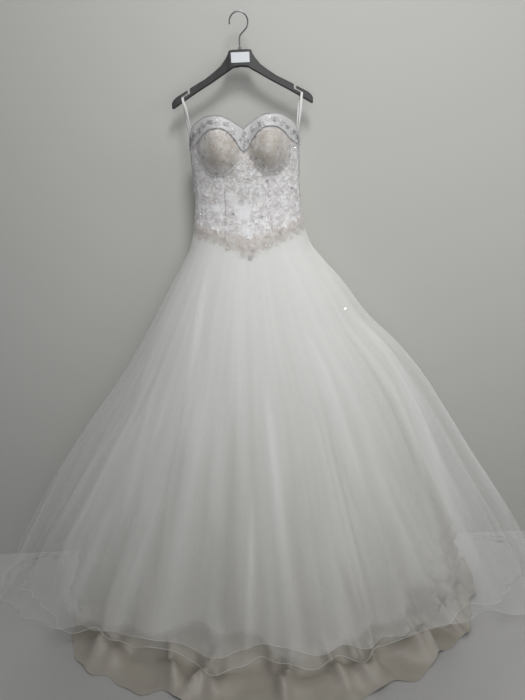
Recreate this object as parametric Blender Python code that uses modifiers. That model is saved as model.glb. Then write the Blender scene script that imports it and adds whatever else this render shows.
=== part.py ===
"""A strapless wedding gown hung by its ribbon loops on a black clothes hanger.

The gown has a boned bodice with moulded cups, a sweetheart band and beaded piping, a lace edge over
the pointed waist, and three skirt layers: a satin skirt on the floor, a tulle skirt with a waved hem
and a wide outer tulle that spreads to both sides. The back lies almost flat, as against a wall.

Metres, +Z up, the gown's front faces -Y. The origin is where the hanger's hook bears.
"run" is a distance down from the origin; past the floor it goes on along the floor.
Angles go round the gown in degrees: 0 at the front centre, 90 at +X, 180 at the back centre.
"""

import math
from collections import namedtuple

import bmesh
import bpy
import numpy as np
from mathutils import Vector

# Driving dimensions: the floor, the gown's upright axis and the walls of its cloths
FLOOR_RUN = 1.72
AXIS_Y = -0.030
BODICE_WALL, SATIN_WALL, TULLE_WALL, LACE_WALL = 0.0016, 0.0015, 0.0010, 0.0010
PIPING_RADIUS = 0.0014

# The bodice's seams in degrees: princess seam, end of the cup, side seam and centre back
PANEL_SEAMS = (24, 60, 90, 180)
SEAM_GAP, SEAM_ANGLE = 0.0004, 0.12
PANEL_STEP, EDGE_STRIP, EDGE_SHARE = 6.0, 0.4, 0.02

# The back grows flatter as the garment grows wider than the bust
BACK_FULL, FLATTER_BACK, BUST_HALF = 2.0, 30.0, 0.15

# The skirts' columns in degrees, closer where the folds are, and their rows
FRONT_COLUMN, BACK_COLUMN, FRONT_END = 4.5, 9.0, 99.0
SKIRT_ROWS, HEM_ROW, WAIST_ROW, TUCK_IN = 6, 0.020, 0.030, 0.012

# The lace edge over the waist seam, with its scallops in degrees
LACE_ABOVE, LACE_BELOW = 0.010, 0.022
SCALLOP, SCALLOP_DEPTH = 12.0, 0.005

# Sizes of the hanger's hook, whose crook runs from its tip at HOOK_TIP degrees to HOOK_NECK
HOOK_WIRE, HOOK_INNER = 0.0019, 0.0225
HOOK_TIP, HOOK_NECK = 190.0, -50.0
HOOK_BEND_ABOVE, HOOK_BEND_BELOW = 0.011, 0.012
HOOK_STEM_TOP, HOOK_STEM_END = -0.064, -0.0855
COLLAR_RADIUS, COLLAR_TAPER, COLLAR_TOP = 0.0048, 0.8, -0.0815

# Sizes of the hanger's bar, its blank plate and the slots that hold the ribbons
BAR_TOP, BAR_CHAMFER = -0.088, 0.0026
PLATE, PLATE_HEIGHT, PLATE_EDGE = (0.050, 0.0012, 0.025), -0.1075, 0.0004
SLOT_SLOPE, SLOT_X, SLOT_UNDER = 27.3, 0.1545, 0.0009
SLOT = (0.0255, 0.05, 0.0045)
MOUTH, MOUTH_X, MOUTH_HEIGHT = (0.0065, 0.05, 0.020), 0.1452, -0.1795

# Sizes of the ribbon loops, which bend over the bar at RIBBON_X
RIBBON_X, RIBBON_TOP = 0.1630, -0.1984
RIBBON_WIDTH, RIBBON_WALL = 0.0070, 0.0010
RIBBON_OVER, RIBBON_ROUND = 0.0094, 0.0005

# Sizes of the cups, which stand out from the bodice
CUP_X, CUP_RUN, CUP_DEPTH = 0.070, 0.338, 0.040
CUP_REACH_IN, CUP_REACH_OUT, CUP_REACH_UP, CUP_REACH_DOWN = 0.060, 0.060, 0.110, 0.066

# Sizes of the zip's slider at the centre back and of the tab that swings on its pin
ZIP_PIVOT = (0.0, 0.0346, -0.3385)
SLIDER, SLIDER_BACK, SLIDER_BELOW = (0.0056, 0.0034, 0.0100), 0.0285, 0.0020
EAR, EAR_X, EAR_IN = (0.0010, 0.0052, 0.0026), 0.0022, 0.0016
PIN_RADIUS, PIN_LENGTH = 0.0006, 0.0042
EYE_RADIUS, EYE_HOLE, EYE_WIDTH = 0.0016, 0.0009, 0.0026
NECK, NECK_BELOW = (0.0024, 0.0011, 0.0060), 0.0042
BLADE, BLADE_BELOW = (0.0054, 0.0010, 0.0190), 0.0145

Section = namedtuple("Section", "run left right front back full_left full_right")
Edge = namedtuple("Edge", "angle run")
Fold = namedtuple("Fold", "angle half_width height")
Station = namedtuple("Station", "x top bottom half_depth")
Knot = namedtuple("Knot", "x y z apart turn")
Layer = namedtuple("Layer", "name table hem inset fold wave wall finish")
Panel = namedtuple("Panel", "name near far top bottom rows finish")
Finish = namedtuple("Finish", "colour roughness metallic")

# What bodice and skirts share: half widths to each side, depths to the front and back of the axis,
# and how full each front corner is, where 2 is an ellipse
BODICE = [
    Section(0.250, 0.1500, 0.1500, 0.080, 0.058, 2.4, 2.4),
    Section(0.310, 0.1510, 0.1510, 0.084, 0.058, 2.4, 2.4),
    Section(0.360, 0.1505, 0.1505, 0.081, 0.058, 2.4, 2.4),
    Section(0.420, 0.1485, 0.1490, 0.073, 0.056, 2.4, 2.4),
    Section(0.470, 0.1495, 0.1510, 0.071, 0.055, 2.4, 2.4),
    Section(0.520, 0.1550, 0.1560, 0.078, 0.056, 2.4, 2.4),
    Section(0.560, 0.1640, 0.1660, 0.088, 0.058, 2.4, 2.4),
    Section(0.605, 0.1780, 0.1830, 0.101, 0.060, 2.3, 2.3),
    Section(0.640, 0.1990, 0.2110, 0.120, 0.064, 2.2, 2.2),
]
WAIST_ROWS = BODICE[4:8]
OUTER_TULLE = WAIST_ROWS + [
    Section(0.640, 0.198, 0.210, 0.117, 0.062, 2.20, 2.20),
    Section(0.720, 0.248, 0.278, 0.157, 0.066, 2.10, 2.10),
    Section(0.820, 0.310, 0.350, 0.209, 0.069, 2.00, 2.00),
    Section(0.920, 0.375, 0.448, 0.257, 0.071, 1.95, 2.00),
    Section(1.020, 0.448, 0.528, 0.303, 0.072, 1.90, 2.00),
    Section(1.140, 0.545, 0.605, 0.352, 0.073, 1.80, 2.00),
    Section(1.300, 0.665, 0.702, 0.410, 0.074, 1.75, 2.00),
    Section(1.450, 0.765, 0.798, 0.457, 0.074, 1.70, 2.10),
    Section(1.580, 0.842, 0.868, 0.492, 0.074, 1.70, 2.20),
    Section(1.680, 0.890, 0.910, 0.520, 0.074, 1.70, 2.30),
    Section(1.716, 0.915, 0.938, 0.540, 0.074, 1.70, 2.40),
    Section(1.800, 0.965, 0.995, 0.590, 0.074, 1.70, 2.60),
]
WAVED_TULLE = WAIST_ROWS + [
    Section(0.640, 0.193, 0.204, 0.113, 0.060, 2.20, 2.20),
    Section(0.720, 0.236, 0.262, 0.149, 0.062, 2.10, 2.10),
    Section(0.820, 0.289, 0.325, 0.198, 0.064, 2.00, 2.00),
    Section(0.920, 0.337, 0.412, 0.244, 0.065, 1.95, 1.95),
    Section(1.020, 0.396, 0.482, 0.286, 0.066, 1.85, 1.90),
    Section(1.140, 0.487, 0.552, 0.333, 0.066, 1.75, 1.85),
    Section(1.300, 0.598, 0.640, 0.388, 0.066, 1.70, 1.80),
    Section(1.450, 0.706, 0.730, 0.434, 0.066, 1.65, 1.80),
    Section(1.580, 0.790, 0.803, 0.468, 0.066, 1.65, 1.80),
    Section(1.680, 0.842, 0.852, 0.490, 0.066, 1.65, 1.80),
    Section(1.716, 0.868, 0.880, 0.500, 0.066, 1.65, 1.80),
    Section(1.800, 0.905, 0.925, 0.530, 0.066, 1.65, 1.80),
]
SATIN = WAIST_ROWS + [
    Section(0.640, 0.187, 0.195, 0.108, 0.056, 2.20, 2.20),
    Section(0.720, 0.216, 0.234, 0.139, 0.056, 2.10, 2.10),
    Section(0.820, 0.254, 0.300, 0.184, 0.057, 2.00, 2.00),
    Section(0.920, 0.298, 0.388, 0.227, 0.058, 2.00, 2.00),
    Section(1.020, 0.344, 0.446, 0.267, 0.058, 2.00, 2.00),
    Section(1.140, 0.402, 0.495, 0.311, 0.058, 2.00, 2.00),
    Section(1.300, 0.485, 0.545, 0.363, 0.058, 2.00, 2.00),
    Section(1.450, 0.556, 0.582, 0.400, 0.058, 2.00, 2.00),
    Section(1.580, 0.606, 0.610, 0.424, 0.058, 2.00, 2.05),
    Section(1.680, 0.640, 0.632, 0.438, 0.058, 2.00, 2.10),
    Section(1.716, 0.660, 0.652, 0.466, 0.058, 2.00, 2.15),
    Section(1.800, 0.722, 0.720, 0.552, 0.058, 2.00, 2.20),
]

# The cut edges of the bodice, the same on both sides
NECKLINE = [
    Edge(0, 0.2930), Edge(7.6, 0.2790), Edge(14.6, 0.2680), Edge(23.4, 0.2600), Edge(34.3, 0.2580),
    Edge(41.5, 0.2598), Edge(55.9, 0.2710), Edge(66, 0.2816), Edge(78.6, 0.3020), Edge(90, 0.3150),
    Edge(120, 0.3260), Edge(180, 0.3300),
]
CUP_LINE = [
    Edge(0, 0.3465), Edge(5.1, 0.3350), Edge(9.7, 0.3155), Edge(16.5, 0.2975), Edge(24.2, 0.2893),
    Edge(32.7, 0.2895), Edge(42.7, 0.2990), Edge(51.4, 0.3140), Edge(59.4, 0.3225), Edge(75.2, 0.3312),
    Edge(90, 0.3360),
]
UNDER_BUST = [
    Edge(0, 0.3530), Edge(8, 0.3730), Edge(16, 0.3900), Edge(24, 0.4000), Edge(32, 0.4020),
    Edge(42, 0.3930), Edge(52, 0.3660), Edge(60, 0.3340),
]
WAIST = [
    Edge(0, 0.6050), Edge(14.2, 0.5850), Edge(29.4, 0.5670), Edge(50, 0.5550), Edge(79, 0.5390),
    Edge(90, 0.5370), Edge(120, 0.5400), Edge(180, 0.5480),
]
# How far down each skirt layer is cut, front to back
OUTER_HEM = [
    Edge(0, 1.600), Edge(25, 1.605), Edge(45, 1.640), Edge(62, 1.730), Edge(90, 1.790), Edge(180, 1.712),
]
WAVED_HEM = [
    Edge(0, 1.668), Edge(35, 1.664), Edge(52, 1.680), Edge(66, 1.716), Edge(90, 1.760), Edge(180, 1.712),
]
SATIN_HEM = [Edge(0, 1.800), Edge(40, 1.790), Edge(90, 1.750), Edge(130, 1.712), Edge(180, 1.712)]

# The largest folds, as ridges that all three layers share, so that they nest
FOLDS = [
    Fold(-85.5, 3.8, 0.022), Fold(-72, 4.4, 0.034), Fold(-58.5, 4.0, 0.030), Fold(-45, 4.2, 0.040),
    Fold(-36, 3.4, 0.026), Fold(-22.5, 4.6, 0.036), Fold(-9, 4.0, 0.042), Fold(9, 4.4, 0.044),
    Fold(18, 3.2, 0.026), Fold(27, 3.6, 0.046), Fold(40.5, 4.0, 0.034), Fold(54, 4.4, 0.040),
    Fold(63, 3.4, 0.028), Fold(76.5, 4.4, 0.034), Fold(90, 4.0, 0.018),
]
FOLD_START, FOLD_GROWTH, FOLD_MEAN = 0.60, 1.10, 0.016
HEM_WAVES, HEM_WAVE_START = 20, 1.35

# Half of the hanger's bar, from its middle to the tip
BAR = [
    Station(0.0000, -0.0880, -0.1285, 0.0085), Station(0.0200, -0.0880, -0.1305, 0.0085),
    Station(0.0300, -0.0895, -0.1365, 0.0080), Station(0.0340, -0.0990, -0.1390, 0.0075),
    Station(0.0400, -0.1085, -0.1420, 0.0070), Station(0.0540, -0.1250, -0.1500, 0.0065),
    Station(0.0750, -0.1400, -0.1622, 0.0060), Station(0.0970, -0.1542, -0.1738, 0.0060),
    Station(0.1200, -0.1655, -0.1858, 0.0060), Station(0.1380, -0.1745, -0.1955, 0.0065),
    Station(0.1490, -0.1810, -0.2018, 0.0070), Station(0.1650, -0.1892, -0.2110, 0.0080),
    Station(0.1810, -0.1975, -0.2205, 0.0085), Station(0.1900, -0.2055, -0.2255, 0.0085),
    Station(0.1935, -0.2110, -0.2255, 0.0075),
]

# Half of a ribbon loop, from its end inside the side seam up to the bar: the middle between its two
# strands, how far each lies from it, and the ribbon's twist, edge to the front at 0 and flat at 90
RIBBON = [
    Knot(0.1470, -0.0300, -0.3500, 0.0009, 0), Knot(0.1467, -0.0300, -0.3300, 0.0009, 0),
    Knot(0.1464, -0.0300, -0.3160, 0.0009, 0), Knot(0.1466, -0.0296, -0.3070, 0.0010, 5),
    Knot(0.1500, -0.0240, -0.2850, 0.0022, 25), Knot(0.1545, -0.0150, -0.2520, 0.0048, 55),
    Knot(0.1590, -0.0065, -0.2220, 0.0085, 80), Knot(0.1620, -0.0010, -0.2080, RIBBON_OVER, 90),
    Knot(RIBBON_X, 0.0, -0.2010, RIBBON_OVER, 90),
]

FINISHES = {
    "beaded_lace": Finish((0.78, 0.76, 0.74), 0.55, 0.0),
    "embroidered_band": Finish((0.80, 0.79, 0.78), 0.50, 0.0),
    "silver_beads": Finish((0.52, 0.52, 0.54), 0.35, 0.6),
    "tulle": Finish((0.84, 0.84, 0.82), 0.80, 0.0),
    "satin": Finish((0.80, 0.78, 0.73), 0.38, 0.0),
    "satin_ribbon": Finish((0.85, 0.84, 0.81), 0.40, 0.0),
    "hanger_plastic": Finish((0.025, 0.027, 0.029), 0.30, 0.0),
    "hook_steel": Finish((0.42, 0.42, 0.44), 0.25, 1.0),
    "blank_plate": Finish((0.55, 0.58, 0.60), 0.35, 0.4),
    "zip_metal": Finish((0.80, 0.79, 0.76), 0.35, 1.0),
}


def empty_scene():
    for thing in list(bpy.data.objects):
        bpy.data.objects.remove(thing, do_unlink=True)


def collection(name):
    made = bpy.data.collections.new(name)
    bpy.context.scene.collection.children.link(made)
    return made


def material(name):
    """The material of a named finish, made once."""
    if name in bpy.data.materials:
        return bpy.data.materials[name]
    finish = FINISHES[name]
    made = bpy.data.materials.new(name)
    made.use_nodes = True
    shader = made.node_tree.nodes["Principled BSDF"]
    shader.inputs["Base Color"].default_value = (*finish.colour, 1.0)
    shader.inputs["Roughness"].default_value = finish.roughness
    shader.inputs["Metallic"].default_value = finish.metallic
    return made


def add(name, data, finish, group):
    """A named object with its finish, in its collection."""
    made = bpy.data.objects.new(name, data)
    data.materials.clear()
    data.materials.append(material(finish))
    group.objects.link(made)
    return made


def smooth(at, places, values):
    """Values between the rows of a table, on a curve that keeps its rises and falls."""
    places, values = np.asarray(places, float), np.asarray(values, float)
    step = np.diff(places)
    slope = np.diff(values) / step
    tangent = np.zeros(len(places))
    same_way = slope[:-1] * slope[1:] > 0
    tangent[1:-1][same_way] = 2 * slope[:-1][same_way] * slope[1:][same_way] / (
        slope[:-1][same_way] + slope[1:][same_way]
    )
    tangent[0], tangent[-1] = slope[0], slope[-1]
    at = np.clip(at, places[0], places[-1])
    i = np.clip(np.searchsorted(places, at) - 1, 0, len(step) - 1)
    t = (at - places[i]) / step[i]
    return (
        values[i] * (1 + 2 * t) * (1 - t) ** 2
        + tangent[i] * step[i] * t * (1 - t) ** 2
        + values[i + 1] * t * t * (3 - 2 * t)
        + tangent[i + 1] * step[i] * t * t * (t - 1)
    )


def edge_run(edge, angle):
    """How far down a cut edge lies at an angle, the same to the left and to the right."""
    angle = np.abs((np.asarray(angle, float) + 180) % 360 - 180)
    return smooth(angle, [row.angle for row in edge], [row.run for row in edge])


def ease(value):
    value = np.clip(value, 0, 1)
    return value * value * (3 - 2 * value)


def section_point(table, angle, run):
    """The points of a garment's outer skin at angles and runs."""
    angle, run = np.broadcast_arrays(np.asarray(angle, float), np.asarray(run, float))
    runs = [row.run for row in table]
    look = {name: smooth(run, runs, [getattr(row, name) for row in table]) for name in Section._fields[1:]}
    side = np.sin(np.radians(angle))
    to_front = np.cos(np.radians(angle)) >= 0
    half = np.where(side < 0, look["left"], look["right"])
    full = np.where(side < 0, look["full_left"], look["full_right"])
    full = np.where(to_front, full, BACK_FULL + FLATTER_BACK * np.clip(half - BUST_HALF, 0, BUST_HALF))
    depth = np.where(to_front, -look["front"], look["back"])
    y = AXIS_Y + depth * np.sqrt(np.clip(1 - np.abs(side) ** full, 0, 1))
    z = -np.minimum(run, FLOOR_RUN)
    return np.stack([half * side, y, z], axis=-1)


def moved_out(shape, angle, run, distance):
    """The points of a surface, moved out from it squarely by a distance."""
    across = shape(angle + 0.05, run) - shape(angle - 0.05, run)
    down = shape(angle, run + 0.0005) - shape(angle, run - 0.0005)
    normal = np.cross(down, across)
    normal /= np.linalg.norm(normal, axis=-1, keepdims=True)
    return shape(angle, run) + normal * np.asarray(distance)[..., None]


def cup_rise(x, run):
    """How far the moulded cups stand out of the bodice's front."""
    across = (np.abs(x) - CUP_X) / np.where(np.abs(x) < CUP_X, CUP_REACH_IN, CUP_REACH_OUT)
    along = (run - CUP_RUN) / np.where(run < CUP_RUN, CUP_REACH_UP, CUP_REACH_DOWN)
    return CUP_DEPTH * np.clip(1 - across**2 - along**2, 0, 1) ** 1.4


def bodice_point(angle, run):
    points = section_point(BODICE, angle, run)
    in_front = np.cos(np.radians(angle)) > 0
    points[..., 1] -= np.where(in_front, cup_rise(points[..., 0], run), 0)
    return points


def fold_height(angle):
    """How far the skirt's largest folds stand out at an angle, about an even mean."""
    angle = (np.asarray(angle, float) + 180) % 360 - 180
    height = np.full(angle.shape, -FOLD_MEAN)
    for fold in FOLDS:
        height = height + fold.height * np.exp(-(((angle - fold.angle) / fold.half_width) ** 2))
    in_front = ease((100 - np.abs(angle)) / 15)
    return height * in_front


def skirt_runs(hem, angles):
    """Rows of runs from the waist seam to where a layer meets the floor, and a last one at its hem."""
    waist, end = edge_run(WAIST, angles), edge_run(hem, angles)
    spread, knee = waist + WAIST_ROW, np.minimum(end - HEM_ROW, FLOOR_RUN)
    share = np.linspace(0, 1, SKIRT_ROWS + 1)[:, None]
    return np.concatenate([[waist - TUCK_IN, waist], spread + (knee - spread) * share, [end]])


def skirt_point(layer, angle, run):
    """The points of a skirt layer at angles and runs, folded and waved, and clear of the floor."""
    grown = np.clip((run - FOLD_START) / (FLOOR_RUN - FOLD_START), 0, 1) ** FOLD_GROWTH
    wave = np.sin(np.radians(angle) * HEM_WAVES + 1.3 * np.sin(np.radians(angle) * 3))
    from_back = ease((125 - np.abs((angle + 180) % 360 - 180)) / 30)
    waved = ease((run - HEM_WAVE_START) / (FLOOR_RUN - HEM_WAVE_START)) * from_back
    out = layer.fold * grown * fold_height(angle) + layer.wave * waved * wave - layer.inset
    points = moved_out(lambda a, r: section_point(layer.table, a, r), angle, run, out)
    points[..., 2] = np.maximum(points[..., 2], -FLOOR_RUN + layer.wall)
    return points


def surface(name, points, closed, finish, group, thickness, smooth_faces=True):
    """A cloth wall: the open surface through rows of points, thickened to its inside."""
    rows, columns = points.shape[:2]
    mesh = bpy.data.meshes.new(name)
    last = columns if closed else columns - 1
    faces = []
    for row in range(rows - 1):
        for column in range(last):
            a, b = row * columns + column, row * columns + (column + 1) % columns
            faces.append((a, a + columns, b + columns, b))
    mesh.from_pydata([tuple(point) for point in points.reshape(-1, 3)], [], faces)
    mesh.update()
    if smooth_faces:
        mesh.shade_smooth()
    made = add(name, mesh, finish, group)
    wall = made.modifiers.new("wall", "SOLIDIFY")
    wall.thickness = thickness
    wall.offset = -1.0
    return made


def columns_between(start, end):
    """Angles from seam to seam, with the seam's gap kept at both ends."""
    count = max(1, round((end - start) / PANEL_STEP))
    angles = np.linspace(start, end, count + 1)
    angles[0] += SEAM_ANGLE
    angles[-1] -= SEAM_ANGLE
    first, last = angles[0], angles[-1]
    return np.concatenate([[first, first + EDGE_STRIP], angles[1:-1], [last - EDGE_STRIP, last]])


def rows_between(count):
    """Shares from one cut edge to the other, with a narrow strip at each, so that seams meet squarely."""
    shares = np.linspace(0, 1, count + 1)
    return np.concatenate([[0, EDGE_SHARE], shares[1:-1], [1 - EDGE_SHARE, 1]])[:, None]


def bodice_panel(name, panel, way, group):
    """A panel of the bodice between two angles and two cut edges, to the right for way 1."""
    first, last = sorted((panel.near * way, panel.far * way))
    angles = columns_between(first, last)
    upper = edge_run(panel.top, angles) + SEAM_GAP / 2
    lower = edge_run(panel.bottom, angles) - SEAM_GAP / 2
    run = upper + (lower - upper) * rows_between(panel.rows)
    surface(name, bodice_point(angles + 0 * run, run), False, panel.finish, group, BODICE_WALL)


def bodice(group):
    """The bodice's panels: the cups under a band, then panels from under the bust down to the waist."""
    princess, cup_end, side_seam, back_seam = PANEL_SEAMS
    centre = Panel("front_centre", -princess, princess, UNDER_BUST, WAIST, 6, "beaded_lace")
    bodice_panel(centre.name, centre, 1, group)
    panels = [
        Panel("neck_band", 0, side_seam, NECKLINE, CUP_LINE, 3, "embroidered_band"),
        Panel("cup", 0, cup_end, CUP_LINE, UNDER_BUST, 6, "beaded_lace"),
        Panel("front_side", princess, cup_end, UNDER_BUST, WAIST, 6, "beaded_lace"),
        Panel("side", cup_end, side_seam, CUP_LINE, WAIST, 6, "beaded_lace"),
        Panel("back", side_seam, back_seam, NECKLINE, WAIST, 4, "beaded_lace"),
    ]
    for panel in panels:
        bodice_panel(f"{panel.name}_left", panel, -1, group)
        bodice_panel(f"{panel.name}_right", panel, 1, group)


def tube(name, points, radius, closed, finish, group, resolution=1):
    """A round cord or wire along points."""
    curve = bpy.data.curves.new(name, "CURVE")
    curve.dimensions = "3D"
    spline = curve.splines.new("POLY")
    spline.points.add(len(points) - 1)
    for spot, point in zip(spline.points, points):
        spot.co = (*point, 1.0)
    spline.use_cyclic_u = closed
    curve.bevel_depth = radius
    curve.bevel_resolution = resolution
    curve.use_fill_caps = not closed
    return add(name, curve, finish, group)


def pipings(group):
    """Beaded piping on the neckline's edge and over the seam between the band and the cups."""
    round_it = np.arange(0, 360, PANEL_STEP)
    middle = moved_out(bodice_point, round_it, edge_run(NECKLINE, round_it), -BODICE_WALL / 2)
    middle[:, 2] += PIPING_RADIUS + SEAM_GAP
    tube("neckline_piping", middle, PIPING_RADIUS, True, "silver_beads", group)
    across = np.arange(-84, 85, PANEL_STEP)
    seam = moved_out(bodice_point, across, edge_run(CUP_LINE, across), PIPING_RADIUS + 2 * SEAM_GAP)
    tube("cup_piping", seam, PIPING_RADIUS, False, "silver_beads", group)


def waist_lace(group):
    """The scalloped lace edge that lies over the waist seam."""
    angles = np.arange(0, 360, SCALLOP / 3)
    scallop = SCALLOP_DEPTH * np.sin(np.radians(angles) * 360 / SCALLOP)
    share = np.linspace(0, 1, 3)[:, None]
    run = edge_run(WAIST, angles) - LACE_ABOVE + (LACE_ABOVE + LACE_BELOW + scallop) * share
    points = moved_out(bodice_point, angles + 0 * run, run, LACE_WALL + 2 * SEAM_GAP)
    surface("waist_lace", points, True, "beaded_lace", group, LACE_WALL)


def skirts(group):
    """The three skirt layers, each its own wall from the waist to its hem."""
    front = np.arange(-FRONT_END, FRONT_END, FRONT_COLUMN)
    angles = np.concatenate([front, np.arange(FRONT_END, 360 - FRONT_END, BACK_COLUMN)])
    first, step = BODICE_WALL + 2 * SEAM_GAP, TULLE_WALL + 2 * SEAM_GAP
    layers = [
        Layer("outer_tulle", OUTER_TULLE, OUTER_HEM, first, 1.0, 0.006, TULLE_WALL, "tulle"),
        Layer("waved_tulle", WAVED_TULLE, WAVED_HEM, first + step, 0.85, 0.012, TULLE_WALL, "tulle"),
        Layer("satin_skirt", SATIN, SATIN_HEM, first + 2 * step, 0.45, 0.008, SATIN_WALL, "satin"),
    ]
    for layer in layers:
        run = skirt_runs(layer.hem, angles)
        surface(layer.name, skirt_point(layer, angles + 0 * run, run), True, layer.finish, group, layer.wall)


def bar_rings():
    """Chamfered sections of the hanger's bar, from tip to tip."""
    stations = [Station(-row.x, *row[1:]) for row in BAR[:0:-1]] + BAR
    rings = []
    for row in stations:
        middle, half = (row.top + row.bottom) / 2, (row.top - row.bottom) / 2
        deep, cut = row.half_depth, BAR_CHAMFER
        corners = [(deep, half - cut), (deep - cut, half)]
        quarter = corners + [(-y, z) for y, z in reversed(corners)]
        ring = quarter + [(-y, -z) for y, z in quarter]
        rings.append([(row.x, y, middle + z) for y, z in ring])
    return rings


def loft(name, rings, finish, group):
    """A solid through closed rings of the same count, with flat ends."""
    mesh = bpy.data.meshes.new(name)
    form = bmesh.new()
    made = [[form.verts.new(point) for point in ring] for ring in rings]
    for first, second in zip(made, made[1:]):
        for i in range(len(first)):
            j = (i + 1) % len(first)
            form.faces.new((first[i], first[j], second[j], second[i]))
    form.faces.new(made[0])
    form.faces.new(made[-1])
    bmesh.ops.recalc_face_normals(form, faces=form.faces)
    form.to_mesh(mesh)
    form.free()
    return add(name, mesh, finish, group)


def block(name, size, place, finish, group, turn=0.0):
    """A box of a size at a place, turned about Y."""
    mesh = bpy.data.meshes.new(name)
    form = bmesh.new()
    bmesh.ops.create_cube(form, size=1.0)
    bmesh.ops.scale(form, vec=size, verts=form.verts)
    form.to_mesh(mesh)
    form.free()
    made = add(name, mesh, finish, group)
    made.location = place
    made.rotation_euler = (0, turn, 0)
    return made


def cylinder(name, radius, length, place, finish, group, turn=0.0, taper=1.0, sides=20):
    """A cylinder along Z, or along X with a turn of a right angle, or a cone where it tapers."""
    mesh = bpy.data.meshes.new(name)
    form = bmesh.new()
    bmesh.ops.create_cone(
        form, cap_ends=True, segments=sides, radius1=radius, radius2=radius * taper, depth=length
    )
    form.to_mesh(mesh)
    form.free()
    made = add(name, mesh, finish, group)
    made.location = place
    made.rotation_euler = (0, turn, 0)
    return made


def boolean(made, other, operation):
    """Cuts the other solid from this one, or joins it, and hides the other."""
    change = made.modifiers.new(operation.lower(), "BOOLEAN")
    change.operation = operation
    change.object = other
    other.hide_render = True
    other.display_type = "WIRE"


def hook_points():
    """The hook's wire: round the crook from its tip, then an easy bend down to the stem."""
    radius = HOOK_INNER + HOOK_WIRE
    centre = Vector((0, 0, -HOOK_INNER))
    angles = np.radians(np.linspace(HOOK_TIP, HOOK_NECK, 30))
    crook = [centre + radius * Vector((math.cos(a), 0, math.sin(a))) for a in angles]
    start, away = crook[-1], (crook[-1] - crook[-2]).normalized()
    end = Vector((0, 0, HOOK_STEM_TOP))
    first, second = start + away * HOOK_BEND_ABOVE, end + Vector((0, 0, HOOK_BEND_BELOW))
    bend = []
    for t in np.linspace(0, 1, 10)[1:]:
        s = 1 - t
        bend.append(s**3 * start + 3 * s * s * t * first + 3 * s * t * t * second + t**3 * end)
    return crook + bend + [Vector((0, 0, HOOK_STEM_END))]


def ribbon_slot(bar, way, cutters):
    """Cuts the slot that a ribbon lies in, and its mouth, into one arm of the bar."""
    slope = way * math.radians(SLOT_SLOPE)
    floor = RIBBON_TOP - SLOT_UNDER + (RIBBON_X - SLOT_X) * math.tan(abs(slope))
    middle = Vector((way * SLOT_X, 0, floor)) + Vector((math.sin(slope), 0, math.cos(slope))) * SLOT[2] / 2
    side = "right" if way > 0 else "left"
    slot = block(f"slot_cutter_{side}", SLOT, middle, "hanger_plastic", cutters, slope)
    mouth_at = (way * MOUTH_X, 0, MOUTH_HEIGHT)
    mouth = block(f"mouth_cutter_{side}", MOUTH, mouth_at, "hanger_plastic", cutters)
    boolean(bar, slot, "DIFFERENCE")
    boolean(bar, mouth, "DIFFERENCE")


def hanger(group, cutters):
    """The bar with its slots, the hook in its collar, and the blank plate on the front."""
    bar = loft("hanger_bar", bar_rings(), "hanger_plastic", group)
    ribbon_slot(bar, -1, cutters)
    ribbon_slot(bar, 1, cutters)
    tube("hanger_hook", hook_points(), HOOK_WIRE, False, "hook_steel", group, 2)
    foot = BAR_TOP + SEAM_GAP
    high = COLLAR_TOP - foot
    at = (0, 0, foot + high / 2)
    collar = cylinder("hanger_collar", COLLAR_RADIUS, high, at, "hook_steel", group, taper=COLLAR_TAPER)
    deep = COLLAR_TOP - HOOK_STEM_END + 2 * SEAM_GAP
    at = (0, 0, HOOK_STEM_END - SEAM_GAP + deep / 2)
    socket = cylinder("socket_cutter", HOOK_WIRE + SEAM_GAP, deep, at, "hook_steel", cutters)
    boolean(collar, socket, "DIFFERENCE")
    front = -(BAR[0].half_depth + SEAM_GAP + PLATE[1] / 2)
    plate = block("hanger_plate", PLATE, (0, front, PLATE_HEIGHT), "blank_plate", group)
    edge = plate.modifiers.new("edge", "BEVEL")
    edge.width, edge.segments = PLATE_EDGE, 1


def ribbon_path(way):
    """Middles and half widths of a ribbon loop: up one strand, over the bar and down the other."""
    rise = []
    for row in RIBBON:
        turn = math.radians(row.turn)
        lean = math.radians(SLOT_SLOPE) * math.sin(turn) ** 2
        flat = Vector((math.cos(lean), 0, -way * math.sin(lean)))
        width = math.cos(turn) * Vector((0, 1, 0)) * way + math.sin(turn) * flat
        apart = math.cos(turn) * Vector((way, 0, 0)) - math.sin(turn) * Vector((0, way, 0))
        rise.append((Vector((way * row.x, row.y, row.z)), width * RIBBON_WIDTH / 2, apart * row.apart))
    points = [middle + apart for middle, width, apart in rise]
    widths = [width for middle, width, apart in rise]
    top = Vector((way * RIBBON_X, 0, RIBBON_TOP))
    corner = rise[-1][2] * (1 - RIBBON_ROUND / RIBBON_OVER)
    points += [top + corner, top - corner] + [middle - apart for middle, width, apart in reversed(rise)]
    widths += [widths[-1]] * 2 + widths[::-1]
    return points, widths


def ribbon_loop(name, way, group):
    """A closed loop of flat ribbon."""
    points, widths = ribbon_path(way)
    rows = np.array([[p - w for p, w in zip(points, widths)], [p + w for p, w in zip(points, widths)]])
    made = surface(name, rows, True, "satin_ribbon", group, RIBBON_WALL, False)
    made.modifiers["wall"].offset = 0.0


def zip_slider(group, cutters):
    """The zip's slider, with two ears that hold a pin."""
    x, y, z = ZIP_PIVOT
    body_at = (x, SLIDER_BACK + SLIDER[1] / 2, z - SLIDER_BELOW)
    body = block("zip_slider", SLIDER, body_at, "zip_metal", group)
    for way, side in ((-1, "left"), (1, "right")):
        ear_at = (way * EAR_X, y - EAR_IN, z)
        boolean(body, block(f"ear_{side}", EAR, ear_at, "zip_metal", cutters), "UNION")
    pin = cylinder("pin", PIN_RADIUS, PIN_LENGTH, ZIP_PIVOT, "zip_metal", cutters, math.pi / 2)
    boolean(body, pin, "UNION")


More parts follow.
